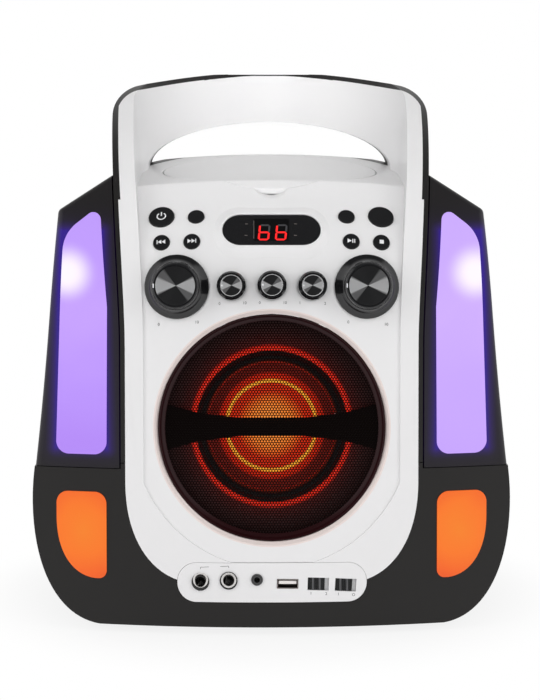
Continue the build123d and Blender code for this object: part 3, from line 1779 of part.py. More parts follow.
with BuildPart() as main_board:
    with Locations((0, main_board_y, main_board_z)):
        Box(main_board_width, board_thickness, main_board_height)
    for x, z, width, height in board_blocks:
        with Locations((x, main_board_y - board_block_depth / 2 - board_thickness / 2, z)):
            Box(width, board_block_depth, height)
save(main_board, "main_board")

with BuildPart() as rubber_feet:
    with BuildSketch(Plane.XY):
        with GridLocations(foot_spacing_x, foot_spacing_y, 2, 2):
            Circle(foot_radius)
    extrude(amount=foot_height)
    chamfer(rubber_feet.edges().group_by(Axis.Z)[0], length=0.8)
save(rubber_feet, "rubber_feet")

with BuildPart() as case_screws:
    for plane in screw_planes:
        add(plug(plane, screw_head_radius, -1.6, -0.2))
        add(plug(plane, screw_radius, -shell_wall, -1.6))
        add(block(plane, 0, 0, 4, 0.9, -0.9, 0), mode=Mode.SUBTRACT)
        add(block(plane, 0, 0, 0.9, 4, -0.9, 0), mode=Mode.SUBTRACT)
save(case_screws, "case_screws")
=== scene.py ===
"""Looks of the karaoke machine: glossy white tower, black shells, lit columns and a ring-lit speaker.

Metres, +Z up, front towards -Y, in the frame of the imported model.
"""

import math

import bmesh
import bpy
from mathutils import Matrix, Vector


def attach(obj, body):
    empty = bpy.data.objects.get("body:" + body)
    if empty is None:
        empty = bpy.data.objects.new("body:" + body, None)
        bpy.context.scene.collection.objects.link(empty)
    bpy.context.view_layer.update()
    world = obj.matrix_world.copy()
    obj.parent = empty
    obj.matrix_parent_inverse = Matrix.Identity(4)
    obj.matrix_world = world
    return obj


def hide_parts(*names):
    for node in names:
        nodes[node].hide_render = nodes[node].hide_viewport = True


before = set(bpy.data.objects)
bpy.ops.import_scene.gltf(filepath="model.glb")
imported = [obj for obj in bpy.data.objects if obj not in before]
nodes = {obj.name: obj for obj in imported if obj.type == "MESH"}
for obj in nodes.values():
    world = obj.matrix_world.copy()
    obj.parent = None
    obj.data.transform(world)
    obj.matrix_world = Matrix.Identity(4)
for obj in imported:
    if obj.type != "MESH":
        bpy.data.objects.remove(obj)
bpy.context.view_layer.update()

MM = 0.001

# ---------------------------------------------------------------- places taken from the model
SKIN_LEAN = math.radians(5.0)
BOW_RADIUS = 600 * MM
BOW_TILT = math.radians(40.0)
BOW_ALONG = Vector((0, math.sin(BOW_TILT), math.cos(BOW_TILT)))
BOW_OUT = Vector((0, -math.cos(BOW_TILT), math.sin(BOW_TILT)))
BOW_ORIGIN = Vector((0, -97.5 * MM, 250 * MM)) - BOW_OUT * BOW_RADIUS
CROWN_CENTRE = (89.5 * MM, 200 * MM)
CROWN_REACH = (189 * MM, 156 * MM)
RECESS_DEPTH = 1.5 * MM
CURVE_START_Z = 211.9 * MM
CURVE_RADIUS = 79.7 * MM
CONTROL_SLOPE = math.radians(45.0)
SPEAKER_Z = 129.8 * MM
DISPLAY_Z = 252.6 * MM
MOUTH_RADIUS = 71.8 * MM
KNOB_TILT = math.radians(6.0)
KNOB_FOLLOW = 0.4
KNOB_LIFT = 0.6 * MM
BIG_KNOB = (59.5 * MM, 219.8 * MM, 15.0 * MM)
SMALL_KNOB = (25.2 * MM, 218.8 * MM, 11.0 * MM)
KNOB_RISE = {}
MIC_JACKS = (-45.0 * MM, -27.3 * MM, 35.0 * MM)
AUX_JACK = (-9.5 * MM, 35.2 * MM)
USB_PORT = (9.7 * MM, 32.5 * MM)
SWITCHES = (29.0 * MM, 46.3 * MM, 32.7 * MM)
SWITCH_PARK = 1.2 * MM


def bowed_frame(x, y, z, tilt):
    """Frame on a bowed surface: its x runs along the surface and its z out of it."""
    rel = Vector((0, y, z)) - BOW_ORIGIN
    radial = rel.dot(BOW_OUT)
    swing = math.asin(x / radial)
    side = Vector((1, 0, 0))
    swung = BOW_OUT * math.cos(swing) + side * math.sin(swing)
    across = side * math.cos(swing) - BOW_OUT * math.sin(swing)
    normal = Vector((0, -math.cos(tilt), math.sin(tilt)))
    out = swung * normal.dot(BOW_OUT) + BOW_ALONG * normal.dot(BOW_ALONG)
    matrix = Matrix((across, out.cross(across), out)).transposed().to_4x4()
    matrix.translation = BOW_ORIGIN + BOW_ALONG * rel.dot(BOW_ALONG) + swung * radial
    return matrix


def skin_y(z, inset):
    """Depth of the leaning outer skin on the centre line."""
    reach_y = CROWN_REACH[0] - inset
    reach_z = CROWN_REACH[1] - inset
    meet = math.atan(math.tan(SKIN_LEAN) * reach_z / reach_y)
    meet_y = CROWN_CENTRE[0] - reach_y * math.cos(meet)
    meet_z = CROWN_CENTRE[1] + reach_z * math.sin(meet)
    return meet_y - (meet_z - z) * math.tan(SKIN_LEAN)


def on_skin(x, z):
    """Frame on the outer skin."""
    return bowed_frame(x, skin_y(z, 0), z, SKIN_LEAN)


def on_face(x, z):
    """Frame on the control face."""
    start_y = skin_y(CURVE_START_Z, RECESS_DEPTH)
    centre_y = start_y + CURVE_RADIUS * math.cos(SKIN_LEAN)
    centre_z = CURVE_START_Z - CURVE_RADIUS * math.sin(SKIN_LEAN)
    slope_y = centre_y - CURVE_RADIUS * math.cos(CONTROL_SLOPE)
    slope_z = centre_z + CURVE_RADIUS * math.sin(CONTROL_SLOPE)
    if z <= CURVE_START_Z:
        return bowed_frame(x, start_y - (CURVE_START_Z - z) * math.tan(SKIN_LEAN), z, SKIN_LEAN)
    if z <= slope_z:
        tilt = math.asin((z - centre_z) / CURVE_RADIUS)
        return bowed_frame(x, centre_y - CURVE_RADIUS * math.cos(tilt), z, tilt)
    return bowed_frame(x, slope_y + (z - slope_z) / math.tan(CONTROL_SLOPE), z, CONTROL_SLOPE)


def knob_frame(x, z):
    """Frame of a knob's foot: its axis lies between the face's own and that of a flat board."""
    face = on_face(x, z)
    level = Vector((0, -math.cos(KNOB_TILT), math.sin(KNOB_TILT)))
    axis = (face.col[2].to_3d() * KNOB_FOLLOW + level * (1 - KNOB_FOLLOW)).normalized()
    across = (Vector((1, 0, 0)) - axis * axis.x).normalized()
    matrix = Matrix((across, axis.cross(across), axis)).transposed().to_4x4()
    matrix.translation = face.translation + axis * KNOB_LIFT
    return matrix


for knob_x, knob_z, knob_top in (BIG_KNOB, SMALL_KNOB):
    KNOB_RISE[knob_z] = (knob_frame(knob_x, knob_z) @ Vector((0, 0, knob_top))).z - knob_z

SPEAKER = on_face(0, SPEAKER_Z)
SCREEN = on_face(0, DISPLAY_Z)


# ---------------------------------------------------------------- node tools
def put(tree, kind, settings=None, **inputs):
    """Add a node, set its properties, and wire or set its inputs by name."""
    node = tree.nodes.new(kind)
    for name, value in (settings or {}).items():
        setattr(node, name, value)
    for name, value in inputs.items():
        key = int(name[1:]) if name[0] == "i" and name[1:].isdigit() else name.replace("_", " ")
        socket = node.inputs[key]
        if isinstance(value, bpy.types.NodeSocket):
            tree.links.new(value, socket)
        else:
            socket.default_value = value
    return node


def math_node(tree, operation, *values, clamp=False):
    """One Math node; its values are numbers or sockets."""
    node = tree.nodes.new("ShaderNodeMath")
    node.operation = operation
    node.use_clamp = clamp
    for socket, value in zip(node.inputs, values):
        if isinstance(value, bpy.types.NodeSocket):
            tree.links.new(value, socket)
        else:
            socket.default_value = value
    return node.outputs[0]


def ramp(tree, factor, stops, interpolation="LINEAR"):
    """Colour ramp from (position, colour) stops."""
    node = tree.nodes.new("ShaderNodeValToRGB")
    node.color_ramp.interpolation = interpolation
    elements = node.color_ramp.elements
    while len(elements) < len(stops):
        elements.new(0.5)
    for element, (position, colour) in zip(elements, stops):
        element.position = position
        element.color = (*colour, 1)
    tree.links.new(factor, node.inputs[0])
    return node.outputs["Color"]


def new_group(name, inputs, outputs, kind="ShaderNodeTree"):
    """Empty node group with named sockets; returns it with its two end nodes."""
    group = bpy.data.node_groups.new(name, kind)
    for title, socket_type, value in inputs:
        socket = group.interface.new_socket(name=title, in_out="INPUT", socket_type=socket_type)
        if value is not None:
            socket.default_value = value
    for title, socket_type in outputs:
        group.interface.new_socket(name=title, in_out="OUTPUT", socket_type=socket_type)
    return group, group.nodes.new("NodeGroupInput"), group.nodes.new("NodeGroupOutput")


def use_group(tree, group, **inputs):
    """Place a shader group in a tree and set its inputs."""
    node = tree.nodes.new("ShaderNodeGroup")
    node.node_tree = group
    for name, value in inputs.items():
        socket = node.inputs[name.replace("_", " ")]
        if isinstance(value, bpy.types.NodeSocket):
            tree.links.new(value, socket)
        else:
            socket.default_value = value
    return node


# ---------------------------------------------------------------- shared surface effects
FLOAT = "NodeSocketFloat"
VECTOR = "NodeSocketVector"
COLOR = "NodeSocketColor"


def build_mould_grain():
    """Spark-eroded texture of a mould: fine bumps and a slow change of sheen."""
    group, source, end = new_group(
        "mould_grain",
        [("Vector", VECTOR, None), ("Grain", FLOAT, 2600.0), ("Sheen", FLOAT, 0.4), ("Spread", FLOAT, 0.08)],
        [("Height", FLOAT), ("Roughness", FLOAT)],
    )
    fine = put(group, "ShaderNodeTexNoise", Vector=source.outputs["Vector"],
               Scale=source.outputs["Grain"], Detail=3.0, Roughness=0.6)
    slow = put(group, "ShaderNodeTexNoise", Vector=source.outputs["Vector"], Scale=18.0, Detail=4.0)
    drift = math_node(group, "SUBTRACT", slow.outputs["Fac"], 0.5)
    spread = math_node(group, "MULTIPLY", drift, source.outputs["Spread"])
    spread = math_node(group, "MULTIPLY", spread, 2.0)
    rough = math_node(group, "ADD", source.outputs["Sheen"], spread)
    group.links.new(fine.outputs["Fac"], end.inputs["Height"])
    group.links.new(rough, end.inputs["Roughness"])
    return group


def build_column_halo():
    """Glow that seeps round a tall light lens, strongest at its edge."""
    group, source, end = new_group(
        "column_halo", [("Vector", VECTOR, None), ("Reach", FLOAT, 0.02)], [("Glow", FLOAT)]
    )
    spot = put(group, "ShaderNodeSeparateXYZ", Vector=source.outputs["Vector"])
    across = math_node(group, "ABSOLUTE", spot.outputs["X"])
    height = math_node(group, "SUBTRACT", spot.outputs["Z"], 0.184)
    lean = math_node(group, "MULTIPLY", height, 0.0)
    half = math_node(group, "SUBTRACT", 0.0148, math_node(group, "MULTIPLY", height, 0.022))
    side = math_node(group, "SUBTRACT", across, math_node(group, "ADD", 0.1204, lean))
    dx = math_node(group, "SUBTRACT", math_node(group, "ABSOLUTE", side), half)
    dz = math_node(group, "SUBTRACT", math_node(group, "ABSOLUTE", height), 0.068)
    dx = math_node(group, "MAXIMUM", dx, 0.0)
    dz = math_node(group, "MAXIMUM", dz, 0.0)
    away = math_node(
        group, "SQRT",
        math_node(group, "ADD", math_node(group, "POWER", dx, 2.0), math_node(group, "POWER", dz, 2.0)),
    )
    share = math_node(group, "DIVIDE", away, source.outputs["Reach"])
    fall = math_node(group, "POWER", 2.718, math_node(group, "MULTIPLY", share, -1.0))
    group.links.new(fall, end.inputs["Glow"])
    return group


def build_ring_light():
    """Colour of the light behind the speaker, by distance from its middle."""
    group, source, end = new_group("ring_light", [("Vector", VECTOR, None)], [("Color", COLOR)])
    local = put(group, "ShaderNodeMapping", {"vector_type": "TEXTURE"}, Vector=source.outputs["Vector"],
                Location=SPEAKER.translation, Rotation=SPEAKER.to_euler())
    spot = put(group, "ShaderNodeSeparateXYZ", Vector=local.outputs["Vector"])
    flat = put(group, "ShaderNodeCombineXYZ", X=spot.outputs["X"], Y=spot.outputs["Y"])
    radius = put(group, "ShaderNodeVectorMath", {"operation": "LENGTH"}, i0=flat.outputs["Vector"])
    share = math_node(group, "DIVIDE", radius.outputs["Value"], MOUTH_RADIUS)
    rings = [  # millimetres from the middle, colour
        (0.0, (1.0, 0.34, 0.06)), (14.0, (0.95, 0.24, 0.03)), (19.0, (0.80, 0.10, 0.012)),
        (22.0, (0.62, 0.025, 0.004)), (27.2, (0.62, 0.022, 0.003)), (28.1, (1.0, 0.46, 0.04)),
        (29.3, (1.0, 0.40, 0.03)), (30.2, (0.62, 0.022, 0.003)), (33.4, (0.50, 0.012, 0.002)),
        (34.8, (0.11, 0.004, 0.002)), (40.2, (0.07, 0.002, 0.001)), (40.9, (0.26, 0.008, 0.004)),
        (41.9, (0.02, 0.001, 0.001)), (43.0, (0.0, 0.0, 0.0)), (48.0, (0.0, 0.0, 0.0)),
        (48.8, (0.72, 0.02, 0.006)), (51.0, (0.58, 0.014, 0.004)), (52.6, (0.06, 0.003, 0.002)),
        (60.0, (0.02, 0.001, 0.001)), (68.0, (0.004, 0.0, 0.0)),
    ]
    colours = ramp(group, share, [(span * MM / MOUTH_RADIUS, colour) for span, colour in rings])
    group.links.new(colours, end.inputs["Color"])
    return group


mould_grain = build_mould_grain()
column_halo = build_column_halo()
ring_light = build_ring_light()


# ---------------------------------------------------------------- finishes
def new_finish(name):
    """Material with a Principled shader and Object coordinates; returns material, tree, shader, place."""
    material = bpy.data.materials.new(name)
    material.use_nodes = True
    tree = material.node_tree
    shader = tree.nodes["Principled BSDF"]
    place = tree.nodes.new("ShaderNodeTexCoord").outputs["Object"]
    return material, tree, shader, place


def set_bump(tree, shader, height, distance):
    """Small relief from a height."""
    bump = put(tree, "ShaderNodeBump", Height=height, Distance=distance, Strength=1.0)
    tree.links.new(bump.outputs["Normal"], shader.inputs["Normal"])


def moulded(name, colour, sheen, grain=2600.0, relief=0.00001, spread=0.08, coat=0.0, drift=0.05, specular=0.5):
    """Moulded plastic: flat pigment, faint colour drift, mould texture."""
    material, tree, shader, place = new_finish(name)
    skin = use_group(tree, mould_grain, Vector=place, Grain=grain, Sheen=sheen, Spread=spread)
    slow = put(tree, "ShaderNodeTexNoise", Vector=place, Scale=7.0, Detail=2.0)
    low = [c * (1 - drift) for c in colour]
    high = [min(1.0, c * (1 + drift)) for c in colour]
    tone = ramp(tree, slow.outputs["Fac"], [(0.3, low), (0.7, high)])
    tree.links.new(tone, shader.inputs["Base Color"])
    tree.links.new(skin.outputs["Roughness"], shader.inputs["Roughness"])
    shader.inputs["Coat Weight"].default_value = coat
    shader.inputs["Coat Roughness"].default_value = 0.08
    shader.inputs["Specular IOR Level"].default_value = specular
    if relief:
        set_bump(tree, shader, skin.outputs["Height"], relief)
    return material


def metal(name, colour, sheen, spin=0.0):
    """Bare or plated metal with fine scratches; spin turns the highlight round the axis."""
    material, tree, shader, place = new_finish(name)
    streak = put(tree, "ShaderNodeTexNoise", Vector=place, Scale=900.0, Detail=4.0)
    rough = put(tree, "ShaderNodeMapRange", Value=streak.outputs["Fac"], To_Min=sheen - 0.05, To_Max=sheen + 0.08)
    tree.links.new(rough.outputs["Result"], shader.inputs["Roughness"])
    shader.inputs["Base Color"].default_value = (*colour, 1)
    shader.inputs["Metallic"].default_value = 1.0
    if spin:
        shader.inputs["Anisotropic"].default_value = spin
        tangent = put(tree, "ShaderNodeTangent", {"direction_type": "RADIAL", "axis": "Y"})
        tree.links.new(tangent.outputs["Tangent"], shader.inputs["Tangent"])
    return material


def lit_column():
    """Frosted lens lit violet from behind, with a white hot spot near its lamp."""
    material, tree, shader, place = new_finish("lit_column_lens")
    spot = put(tree, "ShaderNodeSeparateXYZ", Vector=place)
    height = put(tree, "ShaderNodeMapRange", Value=spot.outputs["Z"], From_Min=0.112, From_Max=0.268)
    wash = put(tree, "ShaderNodeTexNoise", Vector=place, Scale=22.0, Detail=1.0)
    level = math_node(tree, "ADD", height.outputs["Result"],
                      math_node(tree, "MULTIPLY", math_node(tree, "SUBTRACT", wash.outputs["Fac"], 0.5), 0.35))
    tone = ramp(tree, level, [
        (0.0, (0.35, 0.18, 0.74)), (0.3, (0.39, 0.22, 0.78)), (0.55, (0.46, 0.28, 0.82)),
        (0.8, (0.43, 0.26, 0.80)), (1.0, (0.42, 0.26, 0.78)),
    ])
    across = math_node(tree, "ABSOLUTE", spot.outputs["X"])
    flat = put(tree, "ShaderNodeCombineXYZ", X=across, Z=spot.outputs["Z"])
    away = put(tree, "ShaderNodeVectorMath", {"operation": "DISTANCE"}, i0=flat.outputs["Vector"], i1=(0.129, 0, 0.226))
    heat = put(tree, "ShaderNodeMapRange", {"interpolation_type": "SMOOTHERSTEP"}, Value=away.outputs["Value"],
               From_Min=0.022, From_Max=0.002, To_Min=0.0, To_Max=0.9)
    side = put(tree, "ShaderNodeMapRange", Value=spot.outputs["X"], From_Min=-0.01, From_Max=0.01, To_Max=0.4)
    paler = put(tree, "ShaderNodeMix", {"data_type": "RGBA"}, Factor=side.outputs["Result"])
    tree.links.new(tone, paler.inputs["A"])
    paler.inputs["B"].default_value = (0.62, 0.46, 0.90, 1)
    glow = put(tree, "ShaderNodeMix", {"data_type": "RGBA"}, Factor=heat.outputs["Result"])
    tree.links.new(paler.outputs["Result"], glow.inputs["A"])
    glow.inputs["B"].default_value = (0.97, 0.93, 1.0, 1)
    colour = glow.outputs["Result"]
    tree.links.new(colour, shader.inputs["Emission Color"])
    shader.inputs["Emission Strength"].default_value = 1.0
    shader.inputs["Base Color"].default_value = (0.10, 0.07, 0.19, 1)
    shader.inputs["Roughness"].default_value = 0.36
    return material


def lit_amber():
    """Frosted lens lit amber, redder towards its edges."""
    material, tree, shader, place = new_finish("lit_amber_lens")
    spot = put(tree, "ShaderNodeSeparateXYZ", Vector=place)
    across = math_node(tree, "ABSOLUTE", spot.outputs["X"])
    flat = put(tree, "ShaderNodeCombineXYZ", X=across, Z=spot.outputs["Z"])
    away = put(tree, "ShaderNodeVectorMath", {"operation": "DISTANCE"}, i0=flat.outputs["Vector"], i1=(0.119, 0, 0.064))
    wash = put(tree, "ShaderNodeTexNoise", Vector=place, Scale=45.0, Detail=1.0)
    blur = math_node(tree, "MULTIPLY", math_node(tree, "SUBTRACT", wash.outputs["Fac"], 0.5), 0.35)
    level = math_node(tree, "ADD", math_node(tree, "DIVIDE", away.outputs["Value"], 0.036), blur)
    tone = ramp(tree, level, [
        (0.0, (0.72, 0.175, 0.002)), (0.45, (0.74, 0.14, 0.001)), (0.8, (0.70, 0.085, 0.001)), (1.0, (0.62, 0.05, 0.001)),
    ])
    tree.links.new(tone, shader.inputs["Emission Color"])
    shader.inputs["Emission Strength"].default_value = 1.0
    shader.inputs["Base Color"].default_value = (0.20, 0.04, 0.006, 1)
    shader.inputs["Roughness"].default_value = 0.35
    return material


def lit_by_ring(name, colour, sheen, strength=1.0):
    """Surface behind the grille that shows the ring light."""
    material, tree, shader, place = new_finish(name)
    light = use_group(tree, ring_light, Vector=place)
    fibre = put(tree, "ShaderNodeTexNoise", Vector=place, Scale=600.0, Detail=3.0)
    set_bump(tree, shader, fibre.outputs["Fac"], 0.00005)
    tree.links.new(light.outputs["Color"], shader.inputs["Emission Color"])
    shader.inputs["Emission Strength"].default_value = strength
    shader.inputs["Base Color"].default_value = (*colour, 1)
    shader.inputs["Roughness"].default_value = sheen
    return material


def haloed_black():
    """Satin black of the column covers, with a painted violet glow that seeps round the lens."""
    material = moulded("black_column_plastic", (0.0125, 0.0112, 0.0118), 0.45, relief=0.000012, specular=0.3)
    tree = material.node_tree
    shader = tree.nodes["Principled BSDF"]
    place = next(n for n in tree.nodes if n.type == "TEX_COORD").outputs["Object"]
    halo = use_group(tree, column_halo, Vector=place, Reach=0.0042)
    painted_glow = ramp(tree, halo.outputs["Glow"], [
        (0.0, (0.0, 0.0, 0.0)), (0.2, (0.003, 0.0006, 0.012)), (0.55, (0.014, 0.002, 0.09)), (1.0, (0.02, 0.001, 0.24)),
    ])
    tree.links.new(painted_glow, shader.inputs["Emission Color"])
    shader.inputs["Emission Strength"].default_value = 1.0
    return material


def plain_light(name, colour, strength):
    """Small lit or printed mark."""
    material, tree, shader, place = new_finish(name)
    speck = put(tree, "ShaderNodeTexNoise", Vector=place, Scale=1500.0)
    tone = ramp(tree, speck.outputs["Fac"], [(0.3, [c * 0.94 for c in colour]), (0.7, colour)])
    tree.links.new(tone, shader.inputs["Base Color"])
    if strength:
        tree.links.new(tone, shader.inputs["Emission Color"])
        shader.inputs["Emission Strength"].default_value = strength
    shader.inputs["Roughness"].default_value = 0.45
    return material


def cap_with_painted_highlights(name, z):
    """Turned cap painted in pale and dark sectors that stand for highlight and shade, with the index side at its left.
    """
    material = metal(name, (0.46, 0.46, 0.465), 0.50, spin=0.97)
    tree = material.node_tree
    shader = tree.nodes["Principled BSDF"]
    place = next(n for n in tree.nodes if n.type == "TEX_COORD").outputs["Object"]
    spot = put(tree, "ShaderNodeSeparateXYZ", Vector=place)
    if z == BIG_KNOB[1]:
        across = math_node(tree, "SUBTRACT", math_node(tree, "ABSOLUTE", spot.outputs["X"]), BIG_KNOB[0])
    else:
        nearest = math_node(tree, "ROUND", math_node(tree, "DIVIDE", spot.outputs["X"], SMALL_KNOB[0]))
        across = math_node(tree, "SUBTRACT", spot.outputs["X"], math_node(tree, "MULTIPLY", nearest, SMALL_KNOB[0]))
    rise = math_node(tree, "SUBTRACT", spot.outputs["Z"], z + KNOB_RISE[z])
    turn = math_node(tree, "ARCTAN2", rise, across)
    share = math_node(tree, "ADD", math_node(tree, "DIVIDE", turn, 2 * math.pi), 0.5)
    # pale is painted highlight and dark is painted shade, bright to the left and right of the axis; middle lies between
    # them
    pale, middle, dark = (0.95, 0.95, 0.96), (0.30, 0.30, 0.305), (0.05, 0.05, 0.052)
    sectors = [(0, pale), (22, pale), (28, middle), (48, middle), (54, dark), (152, dark), (160, pale), (200, pale),
               (208, middle), (228, middle), (236, dark), (330, dark), (338, pale), (360, pale)]
    tone = ramp(tree, share, [(turned / 360, colour) for turned, colour in sectors])
    tree.links.new(tone, shader.inputs["Base Color"])
    return material


def round_jack(name, centres, z, stops):
    """Jack face: one colour for each ring round its axis; centres lie evenly on a line."""
    material, tree, shader, place = new_finish(name)
    spot = put(tree, "ShaderNodeSeparateXYZ", Vector=place)
    middle = (centres[0] + centres[-1]) / 2
    reach = abs(centres[-1] - centres[0]) / 2
    across = math_node(tree, "SUBTRACT", math_node(
        tree, "ABSOLUTE", math_node(tree, "SUBTRACT", spot.outputs["X"], middle)), reach)
    rise = math_node(tree, "SUBTRACT", spot.outputs["Z"], z)
    radius = math_node(tree, "SQRT", math_node(
        tree, "ADD", math_node(tree, "POWER", across, 2.0), math_node(tree, "POWER", rise, 2.0)))
    share = math_node(tree, "DIVIDE", radius, 8 * MM)
    colours = [(r * MM / (8 * MM), colour) for r, colour, shine in stops]
    shines = [(r * MM / (8 * MM), (shine, shine, shine)) for r, colour, shine in stops]
    tree.links.new(ramp(tree, share, colours, "CONSTANT"), shader.inputs["Base Color"])
    tree.links.new(ramp(tree, share, shines, "CONSTANT"), shader.inputs["Metallic"])
    turned = put(tree, "ShaderNodeTexNoise", Vector=place, Scale=900.0, Detail=4.0)
    rough = put(tree, "ShaderNodeMapRange", Value=turned.outputs["Fac"], To_Min=0.16, To_Max=0.34)
    tree.links.new(rough.outputs["Result"], shader.inputs["Roughness"])
    return material


def usb_metal():
    """Port: plated shell, pale tongue in its upper half, and the dark inside of its opening painted as shade."""
    material, tree, shader, place = new_finish("usb_port_metal")
    spot = put(tree, "ShaderNodeSeparateXYZ", Vector=place)
    across = math_node(tree, "ABSOLUTE", math_node(tree, "SUBTRACT", spot.outputs["X"], USB_PORT[0]))
    rise = math_node(tree, "SUBTRACT", spot.outputs["Z"], USB_PORT[1])
    wide = math_node(tree, "LESS_THAN", across, 6.1 * MM)
    tall = math_node(tree, "LESS_THAN", math_node(tree, "ABSOLUTE", rise), 2.4 * MM)
    inside = math_node(tree, "MULTIPLY", wide, tall)
    tongue = math_node(tree, "MULTIPLY", math_node(tree, "LESS_THAN", across, 5.58 * MM),
                       math_node(tree, "GREATER_THAN", rise, -0.25 * MM))
    tongue = math_node(tree, "MULTIPLY", tongue, inside)
    worn = put(tree, "ShaderNodeTexNoise", Vector=place, Scale=700.0, Detail=3.0)
    shell = ramp(tree, worn.outputs["Fac"], [(0.3, (0.30, 0.26, 0.25)), (0.7, (0.38, 0.33, 0.32))])
    # painted shade: the opening outside the tongue is coloured dark brown instead of lit metal
    shaded_opening = put(tree, "ShaderNodeMix", {"data_type": "RGBA"}, Factor=inside)
    tree.links.new(shell, shaded_opening.inputs["A"])
    shaded_opening.inputs["B"].default_value = (0.05, 0.018, 0.014, 1)
    filled = put(tree, "ShaderNodeMix", {"data_type": "RGBA"}, Factor=tongue)
    tree.links.new(shaded_opening.outputs["Result"], filled.inputs["A"])
    filled.inputs["B"].default_value = (0.86, 0.82, 0.80, 1)
    tree.links.new(filled.outputs["Result"], shader.inputs["Base Color"])
    tree.links.new(math_node(tree, "SUBTRACT", 1.0, inside), shader.inputs["Metallic"])
    rough = put(tree, "ShaderNodeMapRange", Value=worn.outputs["Fac"], To_Min=0.28, To_Max=0.42)
    tree.links.new(rough.outputs["Result"], shader.inputs["Roughness"])
    return material


def banded_switch(name, centre):
    """Black slide cap with two paler grips across its middle."""
    material = moulded(name, (0.010, 0.010, 0.011), 0.38, specular=0.3)
    tree = material.node_tree
    shader = tree.nodes["Principled BSDF"]
    place = next(n for n in tree.nodes if n.type == "TEX_COORD").outputs["Object"]
    spot = put(tree, "ShaderNodeSeparateXYZ", Vector=place)
    away = math_node(tree, "ABSOLUTE", math_node(tree, "SUBTRACT", spot.outputs["X"], centre))
    band = math_node(tree, "ABSOLUTE", math_node(tree, "SUBTRACT", away, 2.1 * MM))
    share = math_node(tree, "DIVIDE", band, 1.2 * MM)
    tone = ramp(tree, share, [(0.0, (0.16, 0.16, 0.165)), (0.35, (0.10, 0.10, 0.105)), (0.75, (0.012, 0.012, 0.013))])
    tree.links.new(tone, shader.inputs["Base Color"])
    return material


white_plastic = moulded("white_gloss_plastic", (0.80, 0.795, 0.80), 0.34, grain=260.0, relief=0.000004, spread=0.05, coat=0.12, drift=0.012)
# The trim ring's pink is painted red light from the speaker's glow on white plastic.
ring_plastic_painted_glow = moulded("white_ring_plastic", (0.80, 0.70, 0.67), 0.34, grain=260.0, relief=0.000004, coat=0.1, drift=0.012)
black_plastic = moulded("black_satin_plastic", (0.0135, 0.0125, 0.012), 0.45, relief=0.000012, specular=0.3)
column_plastic = haloed_black()
inner_plastic = moulded("black_inner_plastic", (0.03, 0.03, 0.032), 0.5)
knob_plastic = moulded("black_knob_gloss", (0.008, 0.008, 0.009), 0.14, grain=500.0, relief=0.000003, spread=0.04, coat=0.15)
key_plastic = moulded("black_key_plastic", (0.009, 0.009, 0.010), 0.38, specular=0.25)
window_plastic = moulded("smoked_window_gloss", (0.010, 0.010, 0.011), 0.12, grain=200.0, relief=0.0, spread=0.02, coat=0.1)
switch_plastic = moulded("pale_switch_plastic", (0.70, 0.70, 0.71), 0.45)
function_cap = banded_switch("function_switch_plastic", SWITCHES[0] - SWITCH_PARK)
light_cap = banded_switch("light_switch_plastic", SWITCHES[1] - SWITCH_PARK)
# HOLE_SHADE is painted shade: near-black in the bores of the jacks, where the plug goes.
HOLE_SHADE, SHINE = (0.004, 0.0035, 0.0035), (0.82, 0.80, 0.78)
# On the mic jacks the near-black from 4.75 mm out is painted shade round the outer edge of the nut.
mic_jack_metal = round_jack("mic_jack_metal", MIC_JACKS[:2], MIC_JACKS[2], [
    (0.0, HOLE_SHADE, 0.0), (3.3, (0.10, 0.09, 0.085), 1.0), (3.6, SHINE, 1.0), (4.75, (0.012, 0.012, 0.012), 0.0)])
aux_jack_plastic = round_jack("aux_jack_plastic", (AUX_JACK[0],), AUX_JACK[1], [
    (0.0, HOLE_SHADE, 0.0), (1.85, (0.05, 0.05, 0.052), 0.0), (2.5, (0.022, 0.022, 0.023), 0.0), (3.0, (0.055, 0.055, 0.057), 0.0)])
usb_port_metal = usb_metal()
rubber = moulded("foot_rubber", (0.02, 0.02, 0.021), 0.75, grain=1500.0, relief=0.00003)
acetal = moulded("white_acetal", (0.78, 0.77, 0.72), 0.4)
magnet_ferrite = moulded("magnet_ferrite", (0.05, 0.05, 0.055), 0.55, grain=900.0, relief=0.00004)
laminate = moulded("green_laminate", (0.02, 0.13, 0.055), 0.35, grain=700.0)
grille_paint = moulded("grille_paint", (0.003, 0.0012, 0.001), 0.5, specular=0.06)
bar_plastic = moulded("black_bar_plastic", (0.004, 0.002, 0.002), 0.55, specular=0.08)
mark_ink = plain_light("grey_printed_ink", (0.045, 0.045, 0.05), 0.0)
window_ink = plain_light("brown_window_ink", (0.16, 0.14, 0.13), 0.0)
icon_ink = plain_light("white_printed_ink", (0.82, 0.82, 0.84), 0.0)
segment_light = plain_light("red_segment_light", (0.80, 0.008, 0.008), 0.9)
segment_dark = plain_light("unlit_segment", (0.055, 0.055, 0.06), 0.0)
zinc = metal("zinc_plate", (0.60, 0.60, 0.61), 0.34)
nickel = metal("nickel_plate", (0.74, 0.73, 0.72), 0.2)
bright_steel = metal("bright_steel", (0.72, 0.72, 0.74), 0.14)
big_cap = cap_with_painted_highlights("spun_big_cap", BIG_KNOB[1])
small_cap = cap_with_painted_highlights("spun_small_cap", SMALL_KNOB[1])
ring_metal = metal("bright_ring", (0.75, 0.75, 0.76), 0.22)
cone_paper = lit_by_ring("lit_cone_paper", (0.12, 0.02, 0.012), 0.7)
surround_rubber = lit_by_ring("lit_surround_rubber", (0.012, 0.010, 0.010), 0.55)
frame_steel = lit_by_ring("lit_basket_steel", (0.02, 0.015, 0.015), 0.5)
light_guide = lit_by_ring("lit_ring_guide", (0.3, 0.03, 0.02), 0.3)
column_lens = lit_column()
amber_lens = lit_amber()

